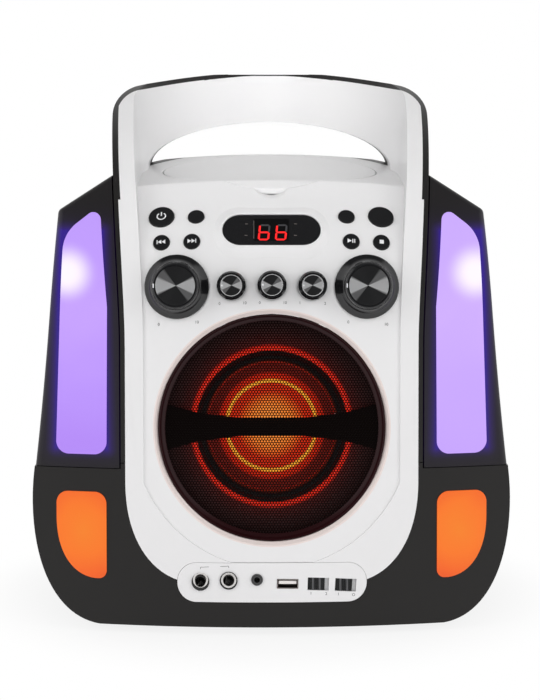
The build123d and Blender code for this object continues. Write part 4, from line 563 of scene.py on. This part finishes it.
finishes = {
    white_plastic: ("front_panel", "disc_lid", "jack_plate"),
    ring_plastic_painted_glow: ("speaker_trim_ring",),
    black_plastic: ("rear_shell", "base_housing"),
    bar_plastic: ("light_bar",),
    column_plastic: ("left_wing_cover", "right_wing_cover"),
    column_lens: ("left_light_lens", "right_light_lens"),
    amber_lens: ("amber_lenses",),
    knob_plastic: ("mic_volume_knob", "master_volume_knob", "echo_knob", "talk_over_knob", "balance_knob"),
    big_cap: ("mic_volume_knob_cap", "master_volume_knob_cap"),
    key_plastic: (
        "power_button", "repeat_button", "previous_button", "next_button", "program_button",
        "light_button", "play_button", "stop_button",
    ),
    function_cap: ("function_switch",),
    light_cap: ("light_switch",),
    mic_jack_metal: ("mic_jacks",),
    aux_jack_plastic: ("aux_jack",),
    usb_port_metal: ("usb_socket",),
    window_plastic: ("display_window",),
    inner_plastic: ("disc_well", "display_module", "power_inlet", "pots", "tact_switches", "turntable_hub", "pickup_sled"),
    switch_plastic: ("switch_bodies",),
    rubber: ("rubber_feet", "dampers"),
    acetal: ("feed_gear", "feed_pinion"),
    magnet_ferrite: ("speaker_magnet",),
    laminate: ("led_boards", "button_boards", "main_board"),
    zinc: ("mechanism_plate", "drive_motors", "case_screws"),
    nickel: ("av_sockets",),
    bright_steel: ("lid_hinge_pin", "guide_rods"),
    cone_paper: ("speaker_cone",),
    surround_rubber: ("speaker_surround",),
    frame_steel: ("speaker_frame",),
    light_guide: ("speaker_light_ring",),
    grille_paint: ("speaker_grille",),
}
for finish, names in finishes.items():
    for name in names:
        node = nodes[name]
        if not node.material_slots:
            node.data.materials.append(finish)
        for place in node.material_slots:
            place.material = finish


# ---------------------------------------------------------------- piece tools
def add_piece(name, mesh, material, body):
    """Object at the origin for a finished mesh, riding on its body."""
    mesh.name = name
    if material is not None:
        mesh.materials.clear()
        mesh.materials.append(material)
    piece = bpy.data.objects.new(name, mesh)
    bpy.context.scene.collection.objects.link(piece)
    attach(piece, body)
    return piece


def grown(tree, name, **sizes):
    """Plain mesh grown by a geometry tree with the given input sizes."""
    seed = bpy.data.objects.new(name, bpy.data.meshes.new(name))
    bpy.context.scene.collection.objects.link(seed)
    modifier = seed.modifiers.new(name, "NODES")
    modifier.node_group = tree
    for item in tree.interface.items_tree:
        key = item.name.replace(" ", "_").lower()
        if item.item_type == "SOCKET" and item.in_out == "INPUT" and key in sizes:
            modifier[item.identifier] = sizes[key]
    depsgraph = bpy.context.evaluated_depsgraph_get()
    mesh = bpy.data.meshes.new_from_object(seed.evaluated_get(depsgraph))
    seed.modifiers.clear()
    bpy.data.objects.remove(seed)
    return mesh


def lathe(profile, steps=96):
    """Closed ring turned from a profile of (radius, height) pairs, given anticlockwise."""
    shape = bmesh.new()
    rings = []
    for index in range(steps):
        turn = 2 * math.pi * index / steps
        rings.append([shape.verts.new((r * math.cos(turn), r * math.sin(turn), h)) for r, h in profile])
    count = len(profile)
    for index in range(steps):
        here, there = rings[index], rings[(index + 1) % steps]
        for k in range(count):
            shape.faces.new((here[k], there[k], there[(k + 1) % count], here[(k + 1) % count]))
    bmesh.ops.recalc_face_normals(shape, faces=shape.faces)
    mesh = bpy.data.meshes.new("ring")
    shape.to_mesh(mesh)
    shape.free()
    mesh.shade_smooth()
    return mesh


def plate(loops, thickness=0.00012):
    """Thin flat print from closed outlines of (x, y) points, each filled on its own."""
    shape = bmesh.new()
    for loop in loops:
        low = [shape.verts.new((x, y, 0)) for x, y in loop]
        top = [shape.verts.new((x, y, thickness)) for x, y in loop]
        shape.faces.new(top)
        shape.faces.new(low[::-1])
        for k in range(len(loop)):
            n = (k + 1) % len(loop)
            shape.faces.new((low[k], low[n], top[n], top[k]))
    bmesh.ops.triangulate(shape, faces=[f for f in shape.faces if len(f.verts) > 4])
    bmesh.ops.recalc_face_normals(shape, faces=shape.faces)
    mesh = bpy.data.meshes.new("print")
    shape.to_mesh(mesh)
    shape.free()
    return mesh


def laid(mesh, surface, x, z, lift):
    """Wrap a flat print onto a bowed surface round the point (x, z)."""
    rise = surface(x, z).to_3x3() @ Vector((0, 1, 0))
    for vertex in mesh.vertices:
        u, v, w = vertex.co
        spot = surface(x + u, z + v * rise.z)
        vertex.co = spot @ Vector((0, 0, lift + w))
    return mesh


def set_on(mesh, spot, lift):
    """Place a flat print on a frame, lifted off it."""
    mesh.transform(spot @ Matrix.Translation((0, 0, lift)))
    return mesh


# ---------------------------------------------------------------- perforated grille
def build_perforated_dome():
    """Tree: dome of hexagonal mesh with straight-sided holes."""
    tree, source, end = new_group(
        "perforated_dome",
        [
            ("Radius", FLOAT, 0.068), ("Pitch", FLOAT, 0.00215), ("Hole Share", FLOAT, 0.7),
            ("Sheet", FLOAT, 0.0006), ("Edge Height", FLOAT, -0.009), ("Rise", FLOAT, 0.005),
            ("Dome Edge", FLOAT, 0.0703), ("Paint", "NodeSocketMaterial", None),
        ],
        [("Geometry", "NodeSocketGeometry")],
        "GeometryNodeTree",
    )
    value = source.outputs
    rows = 92
    columns = 80
    row_step = math_node(tree, "MULTIPLY", value["Pitch"], math.sqrt(3) / 2)
    grid = put(
        tree, "GeometryNodeMeshGrid",
        Size_X=math_node(tree, "MULTIPLY", value["Pitch"], columns - 1),
        Size_Y=math_node(tree, "MULTIPLY", row_step, rows - 1),
        Vertices_X=columns, Vertices_Y=rows,
    )
    index = put(tree, "GeometryNodeInputIndex")
    odd = math_node(tree, "MODULO", index.outputs[0], 2.0)
    shift = math_node(tree, "MULTIPLY", odd, math_node(tree, "MULTIPLY", value["Pitch"], 0.5))
    offset = put(tree, "ShaderNodeCombineXYZ", X=shift)
    staggered = put(tree, "GeometryNodeSetPosition", Geometry=grid.outputs["Mesh"], Offset=offset.outputs[0])
    triangles = put(tree, "GeometryNodeTriangulate", {"quad_method": "SHORTEST_DIAGONAL"}, Mesh=staggered.outputs[0])
    cells = put(tree, "GeometryNodeDualMesh", Mesh=triangles.outputs[0])
    place = put(tree, "GeometryNodeInputPosition")
    span = put(tree, "ShaderNodeVectorMath", {"operation": "LENGTH"}, i0=place.outputs[0])
    outside = put(tree, "FunctionNodeCompare", {"operation": "GREATER_THAN"}, i0=span.outputs["Value"], i1=value["Radius"])
    disc = put(tree, "GeometryNodeDeleteGeometry", {"domain": "FACE"}, Geometry=cells.outputs[0], Selection=outside.outputs[0])
    inset = put(tree, "GeometryNodeExtrudeMesh", {"mode": "FACES"}, Mesh=disc.outputs[0], Offset_Scale=0.0, Individual=True)
    shrunk = put(
        tree, "GeometryNodeScaleElements", {"domain": "FACE"}, Geometry=inset.outputs["Mesh"],
        Selection=inset.outputs["Top"], Scale=value["Hole Share"],
    )
    holed = put(tree, "GeometryNodeDeleteGeometry", {"domain": "FACE"}, Geometry=shrunk.outputs[0], Selection=inset.outputs["Top"])
    edge_sq = math_node(tree, "MULTIPLY", value["Dome Edge"], value["Dome Edge"])
    rise_sq = math_node(tree, "MULTIPLY", value["Rise"], value["Rise"])
    ball = math_node(tree, "DIVIDE", math_node(tree, "ADD", edge_sq, rise_sq), math_node(tree, "MULTIPLY", value["Rise"], 2.0))
    ball_sq = math_node(tree, "MULTIPLY", ball, ball)
    span_sq = math_node(tree, "MULTIPLY", span.outputs["Value"], span.outputs["Value"])
    fall = math_node(tree, "SUBTRACT", math_node(tree, "SQRT", math_node(tree, "SUBTRACT", ball_sq, span_sq)), ball)
    height = math_node(tree, "ADD", fall, math_node(tree, "ADD", value["Edge Height"], value["Rise"]))
    lift = put(tree, "ShaderNodeCombineXYZ", Z=height)
    domed = put(tree, "GeometryNodeSetPosition", Geometry=holed.outputs[0], Offset=lift.outputs[0])
    down = put(tree, "ShaderNodeCombineXYZ", Z=math_node(tree, "MULTIPLY", value["Sheet"], -1.0))
    thick = put(tree, "GeometryNodeExtrudeMesh", {"mode": "FACES"}, Mesh=domed.outputs[0], Offset=down.outputs[0],
                Offset_Scale=1.0, Individual=False)
    back = put(tree, "GeometryNodeFlipFaces", Mesh=thick.outputs["Mesh"])
    both = put(tree, "GeometryNodeJoinGeometry", Geometry=domed.outputs[0])
    tree.links.new(back.outputs[0], both.inputs[0])
    welded = put(tree, "GeometryNodeMergeByDistance", Geometry=both.outputs[0], Distance=0.000004)
    real = put(tree, "GeometryNodeRealizeInstances", Geometry=welded.outputs[0])
    painted = put(tree, "GeometryNodeSetMaterial", Geometry=real.outputs[0], Material=value["Paint"])
    tree.links.new(painted.outputs[0], end.inputs[0])
    return tree


grille_mesh = grown(
    build_perforated_dome(), "grille", radius=68.6 * MM, pitch=1.80 * MM, hole_share=0.66,
    sheet=0.6 * MM, edge_height=-9.0 * MM, rise=5.0 * MM, dome_edge=71.4 * MM, paint=grille_paint,
)
grille_mesh.transform(SPEAKER)
grille = add_piece("perforated_grille", grille_mesh, grille_paint, "body")
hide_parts("speaker_grille")

# Glossy black rim of the grille whose maroon is partly painted reflection of the red ring light.
rim_painted_red_reflection = moulded("grille_rim_gloss", (0.020, 0.004, 0.005), 0.30, grain=400.0, relief=0.000003, coat=0.04, specular=0.2)
rim_mesh = lathe([
    (67.4 * MM, -9.1 * MM), (69.4 * MM, -9.5 * MM), (71.6 * MM, -9.5 * MM), (71.6 * MM, -4.6 * MM),
    (71.0 * MM, -4.4 * MM), (70.4 * MM, -5.0 * MM), (70.0 * MM, -7.6 * MM), (69.3 * MM, -8.3 * MM),
    (67.4 * MM, -8.35 * MM),
])
rim_mesh.transform(SPEAKER)
add_piece("grille_rim", rim_mesh, rim_painted_red_reflection, "body")


# ---------------------------------------------------------------- seven-segment display
def segment(width, height, slant, cx, cy, upright):
    """Outline of one bar with pointed ends."""
    half_w, half_h = (width / 2, height / 2)
    if upright:
        loop = [(0, half_w), (half_h, half_w - half_h), (half_h, half_h - half_w), (0, -half_w),
                (-half_h, half_h - half_w), (-half_h, half_w - half_h)]
    else:
        loop = [(half_w, 0), (half_w - half_h, half_h), (half_h - half_w, half_h), (-half_w, 0),
                (half_h - half_w, -half_h), (half_w - half_h, -half_h)]
    return [(cx + x + slant * (cy + y), cy + y) for x, y in loop]


def digit_bars(cx, lit):
    """Outlines of a digit's lit and unlit bars round cx."""
    wide, tall, bar = 6.0 * MM, 10.8 * MM, 1.2 * MM
    spots = {
        "a": (0, tall / 2, False), "b": (wide / 2, tall / 4, True), "c": (wide / 2, -tall / 4, True),
        "d": (0, -tall / 2, False), "e": (-wide / 2, -tall / 4, True), "f": (-wide / 2, tall / 4, True),
        "g": (0, 0, False),
    }
    on, off = [], []
    for name, (x, y, upright) in spots.items():
        length = (tall / 2 if upright else wide) - 0.25 * MM
        loop = [(px + cx, py) for px, py in segment(length, bar, 0.09, x, y, upright)]
        (on if name in lit else off).append(loop)
    return on, off


WINDOW_TOP = 0.6 * MM
lit_bars, dark_bars = [], []
for digit_x in (-4.7 * MM, 6.1 * MM):
    on, off = digit_bars(digit_x, "cdefg")
    lit_bars += on
    dark_bars += off
fascia = plate([[(-11.2 * MM, -8.3 * MM), (11.2 * MM, -8.3 * MM), (11.2 * MM, 8.3 * MM), (-11.2 * MM, 8.3 * MM)]], 0.00004)
panel_dark = moulded("digit_field_gloss", (0.0015, 0.0015, 0.0018), 0.10, relief=0.0, coat=0.2)
add_piece("digit_field", set_on(fascia, SCREEN, WINDOW_TOP + 0.00001), panel_dark, "body")
DIGITS = SCREEN @ Matrix.Translation((0, -1.9 * MM, 0))
add_piece("digits_lit", set_on(plate(lit_bars, 0.00003), DIGITS, WINDOW_TOP + 0.00005), segment_light, "body")
add_piece("digits_unlit", set_on(plate(dark_bars, 0.00003), DIGITS, WINDOW_TOP + 0.00005), segment_dark, "body")


def bar_loop(x0, y0, x1, y1):
    """Outline of an upright rectangle."""
    return [(x0, y0), (x1, y0), (x1, y1), (x0, y1)]


window_marks = [bar_loop(-11.3 * MM, -6.6 * MM, -11.0 * MM, 7.0 * MM)]
for x, y in ((-15.8, 4.5), (-16.1, -4.2), (15.2, 4.5), (15.0, -4.2)):
    window_marks.append(bar_loop((x - 0.9) * MM, (y - 0.2) * MM, (x + 0.9) * MM, (y + 0.2) * MM))
add_piece("window_marks", set_on(plate(window_marks, 0.00003), SCREEN, WINDOW_TOP + 0.00005), window_ink, "body")


def band(radius, width, start, stop, steps, cx=0.0, cy=0.0):
    """A curved band as a row of four-sided cells, which fill cleanly."""
    cells = []
    for k in range(steps):
        a = math.radians(start + (stop - start) * k / steps)
        b = math.radians(start + (stop - start) * (k + 1) / steps)
        far, near = radius + width / 2, radius - width / 2
        cells.append([
            (cx + near * math.cos(a), cy + near * math.sin(a)), (cx + far * math.cos(a), cy + far * math.sin(a)),
            (cx + far * math.cos(b), cy + far * math.sin(b)), (cx + near * math.cos(b), cy + near * math.sin(b)),
        ])
    return cells


# ---------------------------------------------------------------- pictograms on the keys
def right_triangle(x, half, length):
    """Outline of a triangle pointing right."""
    return [(x, -half), (x + length, 0), (x, half)]


u = MM
icons = {
    "power_button": (-69.9, 262.9, band(2.7 * u, 0.8 * u, 125, 415, 28) + [bar_loop(-0.42 * u, 0.2 * u, 0.42 * u, 3.5 * u)]),
    "previous_button": (-69.5, 247.5, [
        bar_loop(-2.9 * u, -1.45 * u, -2.3 * u, 1.45 * u),
        [(-2.2 * u, 0), (0.1 * u, -1.5 * u), (0.1 * u, 1.5 * u)], [(0.2 * u, 0), (2.6 * u, -1.5 * u), (2.6 * u, 1.5 * u)]]),
    "next_button": (-50.3, 247.0, [
        bar_loop(2.3 * u, -1.45 * u, 2.9 * u, 1.45 * u),
        right_triangle(-2.6 * u, 1.5 * u, 2.4 * u), right_triangle(-0.1 * u, 1.5 * u, 2.3 * u)]),
    "play_button": (50.3, 247.0, [
        right_triangle(-2.5 * u, 1.5 * u, 2.7 * u), bar_loop(0.5 * u, -1.4 * u, 1.15 * u, 1.4 * u),
        bar_loop(1.75 * u, -1.4 * u, 2.4 * u, 1.4 * u)]),
    "stop_button": (69.5, 247.5, [bar_loop(-1.35 * u, -1.35 * u, 1.35 * u, 1.35 * u)]),
}
KEY_TOP = 1.2 * MM
for key, (x, z, loops) in icons.items():
    mark = set_on(plate(loops, 0.00003), on_face(x * MM, z * MM), KEY_TOP + 0.00001)
    add_piece(key + "_icon", mark, icon_ink, key.replace("_button", "_key"))


# ---------------------------------------------------------------- caps, rings and index dots of the knobs
def disc_loop(radius, cx=0.0, cy=0.0, steps=64):
    """Outline of a circle."""
    turns = [2 * math.pi * k / steps for k in range(steps)]
    return [(cx + radius * math.cos(t), cy + radius * math.sin(t)) for t in turns]


CAP_RADIUS = 6.2 * MM
for name, side in (("echo", -1), ("talk_over", 0), ("balance", 1)):
    spot = knob_frame(side * SMALL_KNOB[0], SMALL_KNOB[1])
    top = SMALL_KNOB[2]
    add_piece(name + "_cap", set_on(plate([disc_loop(CAP_RADIUS)], 0.15 * MM), spot, top), small_cap, name)
    ring = lathe([
        (CAP_RADIUS + 0.05 * MM, 0), (CAP_RADIUS + 0.6 * MM, 0), (CAP_RADIUS + 0.55 * MM, 0.3 * MM),
        (CAP_RADIUS + 0.2 * MM, 0.36 * MM), (CAP_RADIUS + 0.05 * MM, 0.2 * MM),
    ])
    add_piece(name + "_ring", set_on(ring, spot, top), ring_metal, name)
    dot = plate([disc_loop(0.62 * MM, -CAP_RADIUS + 0.5 * MM, 0, 24)], 0.05 * MM)
    add_piece(name + "_index", set_on(dot, spot, top + 0.16 * MM), icon_ink, name)
for name, side in (("mic_volume", -1), ("master_volume", 1)):
    spot = knob_frame(side * BIG_KNOB[0], BIG_KNOB[1])
    dot = plate([bar_loop(-13.9 * MM, -1.3 * MM, -13.2 * MM, 1.3 * MM)], 0.05 * MM)
    add_piece(name + "_index", set_on(dot, spot, BIG_KNOB[2] - 0.28 * MM), icon_ink, name)


# ---------------------------------------------------------------- printed marks
def numeral(text, size):
    """Flat mesh of plain numbers, centred on the origin."""
    curve = bpy.data.curves.new("numeral", "FONT")
    curve.body = text
    curve.size = size
    curve.align_x = "CENTER"
    curve.align_y = "CENTER"
    curve.extrude = 0.015 * MM
    holder = bpy.data.objects.new("numeral", curve)
    bpy.context.scene.collection.objects.link(holder)
    depsgraph = bpy.context.evaluated_depsgraph_get()
    mesh = bpy.data.meshes.new_from_object(holder.evaluated_get(depsgraph))
    bpy.data.objects.remove(holder)
    bpy.data.curves.remove(curve)
    return mesh


def merged(meshes, name):
    """One mesh from several."""
    shape = bmesh.new()
    for mesh in meshes:
        shape.from_mesh(mesh)
    result = bpy.data.meshes.new(name)
    shape.to_mesh(result)
    shape.free()
    return result


MARK_LIFT = 0.03 * MM
face_marks = []
for side in (-1, 1):
    x, z = side * BIG_KNOB[0], BIG_KNOB[1]
    for offset, text in ((-11.5, "0"), (12.5, "10")):
        face_marks.append(laid(numeral(text, 2.6 * MM), on_face, x + offset * MM, z - 22.6 * MM, MARK_LIFT))
for side, texts in ((-1, ("0", "10")), (0, ("0", "10")), (1, ("1", "2"))):
    x, z = side * SMALL_KNOB[0], SMALL_KNOB[1]
    for offset, text in ((-7.6, texts[0]), (8.2, texts[1])):
        face_marks.append(laid(numeral(text, 2.5 * MM), on_face, x + offset * MM, z - 10.6 * MM, MARK_LIFT))
add_piece("dial_numbers", merged(face_marks, "dial_numbers"), mark_ink, "body")

plate_marks = []
for offset, text in ((-4.6, "1"), (5.0, "2")):
    plate_marks.append(laid(numeral(text, 2.5 * MM), on_skin, SWITCHES[0] + offset * MM, SWITCHES[2] - 6.0 * MM, MARK_LIFT))
for offset, text in ((-4.6, "I"), (5.0, "O")):
    plate_marks.append(laid(numeral(text, 2.5 * MM), on_skin, SWITCHES[1] + offset * MM, SWITCHES[2] - 6.0 * MM, MARK_LIFT))
middle = (MIC_JACKS[0] + MIC_JACKS[1]) / 2
bracket = []
for side in (-1, 1):
    bracket.append(bar_loop(side * 9.0 * MM, 1.3 * MM, side * 3.6 * MM, 1.55 * MM))
    bracket.append(bar_loop(side * 9.0 * MM, 0.3 * MM, side * 8.75 * MM, 1.55 * MM))
bracket = [loop if loop[0][0] < loop[1][0] else loop[::-1] for loop in bracket]
plate_marks.append(laid(plate(bracket, 0.00003), on_skin, middle, MIC_JACKS[2] + 7.6 * MM, MARK_LIFT))
add_piece("socket_numbers", merged(plate_marks, "socket_numbers"), mark_ink, "body")

# ---------------------------------------------------------------- crown of the handle
# half width, top height and height of the shell's crown behind it, in mm
CROWN_LINE = ((0, 355.28, 357.0), (12, 355.28, 356.8), (22, 355.25, 356.3), (30, 355.18, 355.7),
              (36, 355.0, 355.2), (42, 354.68, 354.67), (46, 354.05, 354.2))
BACK_SLOPE = ((96, 355.3), (98, 355.2), (100, 354.5), (102, 353.5), (104, 352.2), (106, 350.6), (108, 348.6))
WALL_CENTRE, WALL_RADIUS = 3.2, 99.0


def between(rows, key, column):
    """Value of one column at a place along rows sorted by their first number."""
    for low, high in zip(rows, rows[1:]):
        if key <= high[0]:
            share = (key - low[0]) / (high[0] - low[0])
            return low[column] + share * (high[column] - low[column])
    return rows[-1][column]


def crown(sections):
    """Closed strip swept over the handle through cross-sections of (y, z) points in mm."""
    shape = bmesh.new()
    rings = [[shape.verts.new((x * MM, y * MM, z * MM)) for y, z in points] for x, points in sections]
    for here, there in zip(rings, rings[1:]):
        for k in range(len(here)):
            n = (k + 1) % len(here)
            shape.faces.new((here[k], here[n], there[n], there[k]))
    shape.faces.new(rings[0])
    shape.faces.new(rings[-1][::-1])
    bmesh.ops.recalc_face_normals(shape, faces=shape.faces)
    mesh = bpy.data.meshes.new("crown")
    shape.to_mesh(mesh)
    shape.free()
    return mesh


fronts, edges = [], []
for step in range(-46, 47, 2):
    half = abs(step)
    wall = WALL_CENTRE + math.sqrt(WALL_RADIUS ** 2 - half ** 2)
    top = between(CROWN_LINE, half, 1)
    foot = min(between(CROWN_LINE, half, 2), between(BACK_SLOPE, wall + 3.6, 1)) - 0.15
    share = min(max((half - 8) / 38, 0), 1)
    seam = top - 0.9 - 2.3 * share * share * (3 - 2 * share)
    fronts.append((step, [(wall, 347.0), (wall - 0.1, seam), (wall + 1.6, seam), (wall + 1.6, 347.0)]))
    edges.append((step, [
        (wall - 0.1, seam), (wall + 0.1, top - 0.2), (wall + 0.5, top), (wall + 1.3, top),
        (wall + 3.6, foot), (wall + 2.6, foot - 1.5), (wall + 1.6, seam)]))
add_piece("handle_crown", crown(fronts), white_plastic, "body")
add_piece("handle_crown_edge", crown(edges), black_plastic, "body")

# ---------------------------------------------------------------- camera, stage and light
camera_data = bpy.data.cameras.new("camera")
camera_data.sensor_fit = "VERTICAL"
camera_data.sensor_height = 36.0
camera_data.lens = 36.0 * 1849 / 700
camera_data.clip_start = 0.05
camera_data.clip_end = 60
camera = bpy.data.objects.new("camera", camera_data)
camera.location = (-15.1 * MM, -1250.5 * MM, 316 * MM)
aim = Vector((-0.1 * MM, -10.5 * MM, 168 * MM))
camera.rotation_euler = (aim - camera.location).to_track_quat("-Z", "Y").to_euler()
bpy.context.scene.collection.objects.link(camera)
bpy.context.scene.camera = camera
bpy.context.scene.view_settings.view_transform = "Standard"


def area_light(name, place, target, size, power, spread=180):
    """Soft rectangular lamp aimed at a point; spread narrows its beam."""
    data = bpy.data.lights.new(name, "AREA")
    data.shape = "RECTANGLE"
    data.size, data.size_y = size
    data.energy = power
    data.spread = math.radians(spread)
    lamp = bpy.data.objects.new(name, data)
    lamp.location = place
    lamp.visible_glossy = False
    lamp.rotation_euler = (Vector(target) - Vector(place)).to_track_quat("-Z", "Y").to_euler()
    bpy.context.scene.collection.objects.link(lamp)


area_light("soft_left", (-1.5, -1.1, 0.9), (0, 0, 0.17), (0.9, 1.4), 8)
area_light("soft_right", (1.5, -1.1, 0.9), (0, 0, 0.17), (0.9, 1.4), 8)
area_light("soft_front", (0, -2.2, 0.55), (0, 0, 0.2), (1.8, 0.9), 13)
area_light("soft_top", (0, -0.2, 1.9), (0, 0, 0.1), (1.6, 1.2), 1.6)
area_light("soft_handle", (0, -0.9, 0.40), (0, 0.1, 0.34), (0.2, 0.1), 0.022, 14)

stage_shape = bmesh.new()
bmesh.ops.create_grid(stage_shape, x_segments=4, y_segments=4, size=12)
stage_mesh = bpy.data.meshes.new("floor")
stage_shape.to_mesh(stage_mesh)
stage_shape.free()
floor = bpy.data.objects.new("floor", stage_mesh)
bpy.context.scene.collection.objects.link(floor)

floor_paint = bpy.data.materials.new("pale_floor")
floor_paint.use_nodes = True
tree = floor_paint.node_tree
tree.nodes.clear()
rays = put(tree, "ShaderNodeLightPath")
seen = math_node(tree, "MAXIMUM", rays.outputs["Is Camera Ray"],
                 math_node(tree, "MAXIMUM", rays.outputs["Is Glossy Ray"], rays.outputs["Is Transmission Ray"]))
place = put(tree, "ShaderNodeTexCoord").outputs["Object"]
away = put(tree, "ShaderNodeVectorMath", {"operation": "LENGTH"}, i0=place)
fade = put(tree, "ShaderNodeMapRange", {"interpolation_type": "SMOOTHSTEP"}, Value=away.outputs["Value"],
           From_Min=0.13, From_Max=0.22, To_Min=0.84, To_Max=1.0)
speckle = put(tree, "ShaderNodeTexNoise", Vector=place, Scale=160.0)
tone = ramp(tree, speckle.outputs["Fac"], [(0.3, (0.90, 0.90, 0.90)), (0.7, (0.92, 0.92, 0.92))])
card = put(tree, "ShaderNodeBsdfDiffuse", Color=tone)
white = put(tree, "ShaderNodeEmission", Color=(1, 1, 1, 1), Strength=1.0)
share = math_node(tree, "MULTIPLY", seen, fade.outputs["Result"])
mixed = put(tree, "ShaderNodeMixShader", i0=share, i1=card.outputs[0], i2=white.outputs[0])
out = put(tree, "ShaderNodeOutputMaterial", Surface=mixed.outputs[0])
stage_mesh.materials.append(floor_paint)

world = bpy.data.worlds.new("pale_room")
bpy.context.scene.world = world
world.use_nodes = True
tree = world.node_tree
tree.nodes.clear()
rays = put(tree, "ShaderNodeLightPath")
direction = put(tree, "ShaderNodeSeparateXYZ", Vector=put(tree, "ShaderNodeTexCoord").outputs["Generated"])
sideways = put(tree, "ShaderNodeMapRange", {"interpolation_type": "SMOOTHSTEP"},
               Value=math_node(tree, "ABSOLUTE", direction.outputs["X"]), From_Min=0.50, From_Max=0.66,
               To_Min=0.10, To_Max=1.0)
behind = put(tree, "ShaderNodeMapRange", {"interpolation_type": "SMOOTHSTEP"},
             Value=direction.outputs["Y"], From_Min=-0.1, From_Max=0.7, To_Min=0.0, To_Max=1.0)
mirrored = math_node(tree, "MAXIMUM", sideways.outputs["Result"], behind.outputs["Result"])
straight = math_node(tree, "MAXIMUM", rays.outputs["Is Camera Ray"], rays.outputs["Is Transmission Ray"])
lit = put(tree, "ShaderNodeMix", {"data_type": "FLOAT"}, Factor=rays.outputs["Is Glossy Ray"], A=0.45)
tree.links.new(mirrored, lit.inputs["B"])
strength = put(tree, "ShaderNodeMix", {"data_type": "FLOAT"}, Factor=straight, B=1.0)
tree.links.new(lit.outputs["Result"], strength.inputs["A"])
sky = put(tree, "ShaderNodeBackground", Color=(1, 1, 1, 1), Strength=strength.outputs["Result"])
put(tree, "ShaderNodeOutputWorld", Surface=sky.outputs[0])
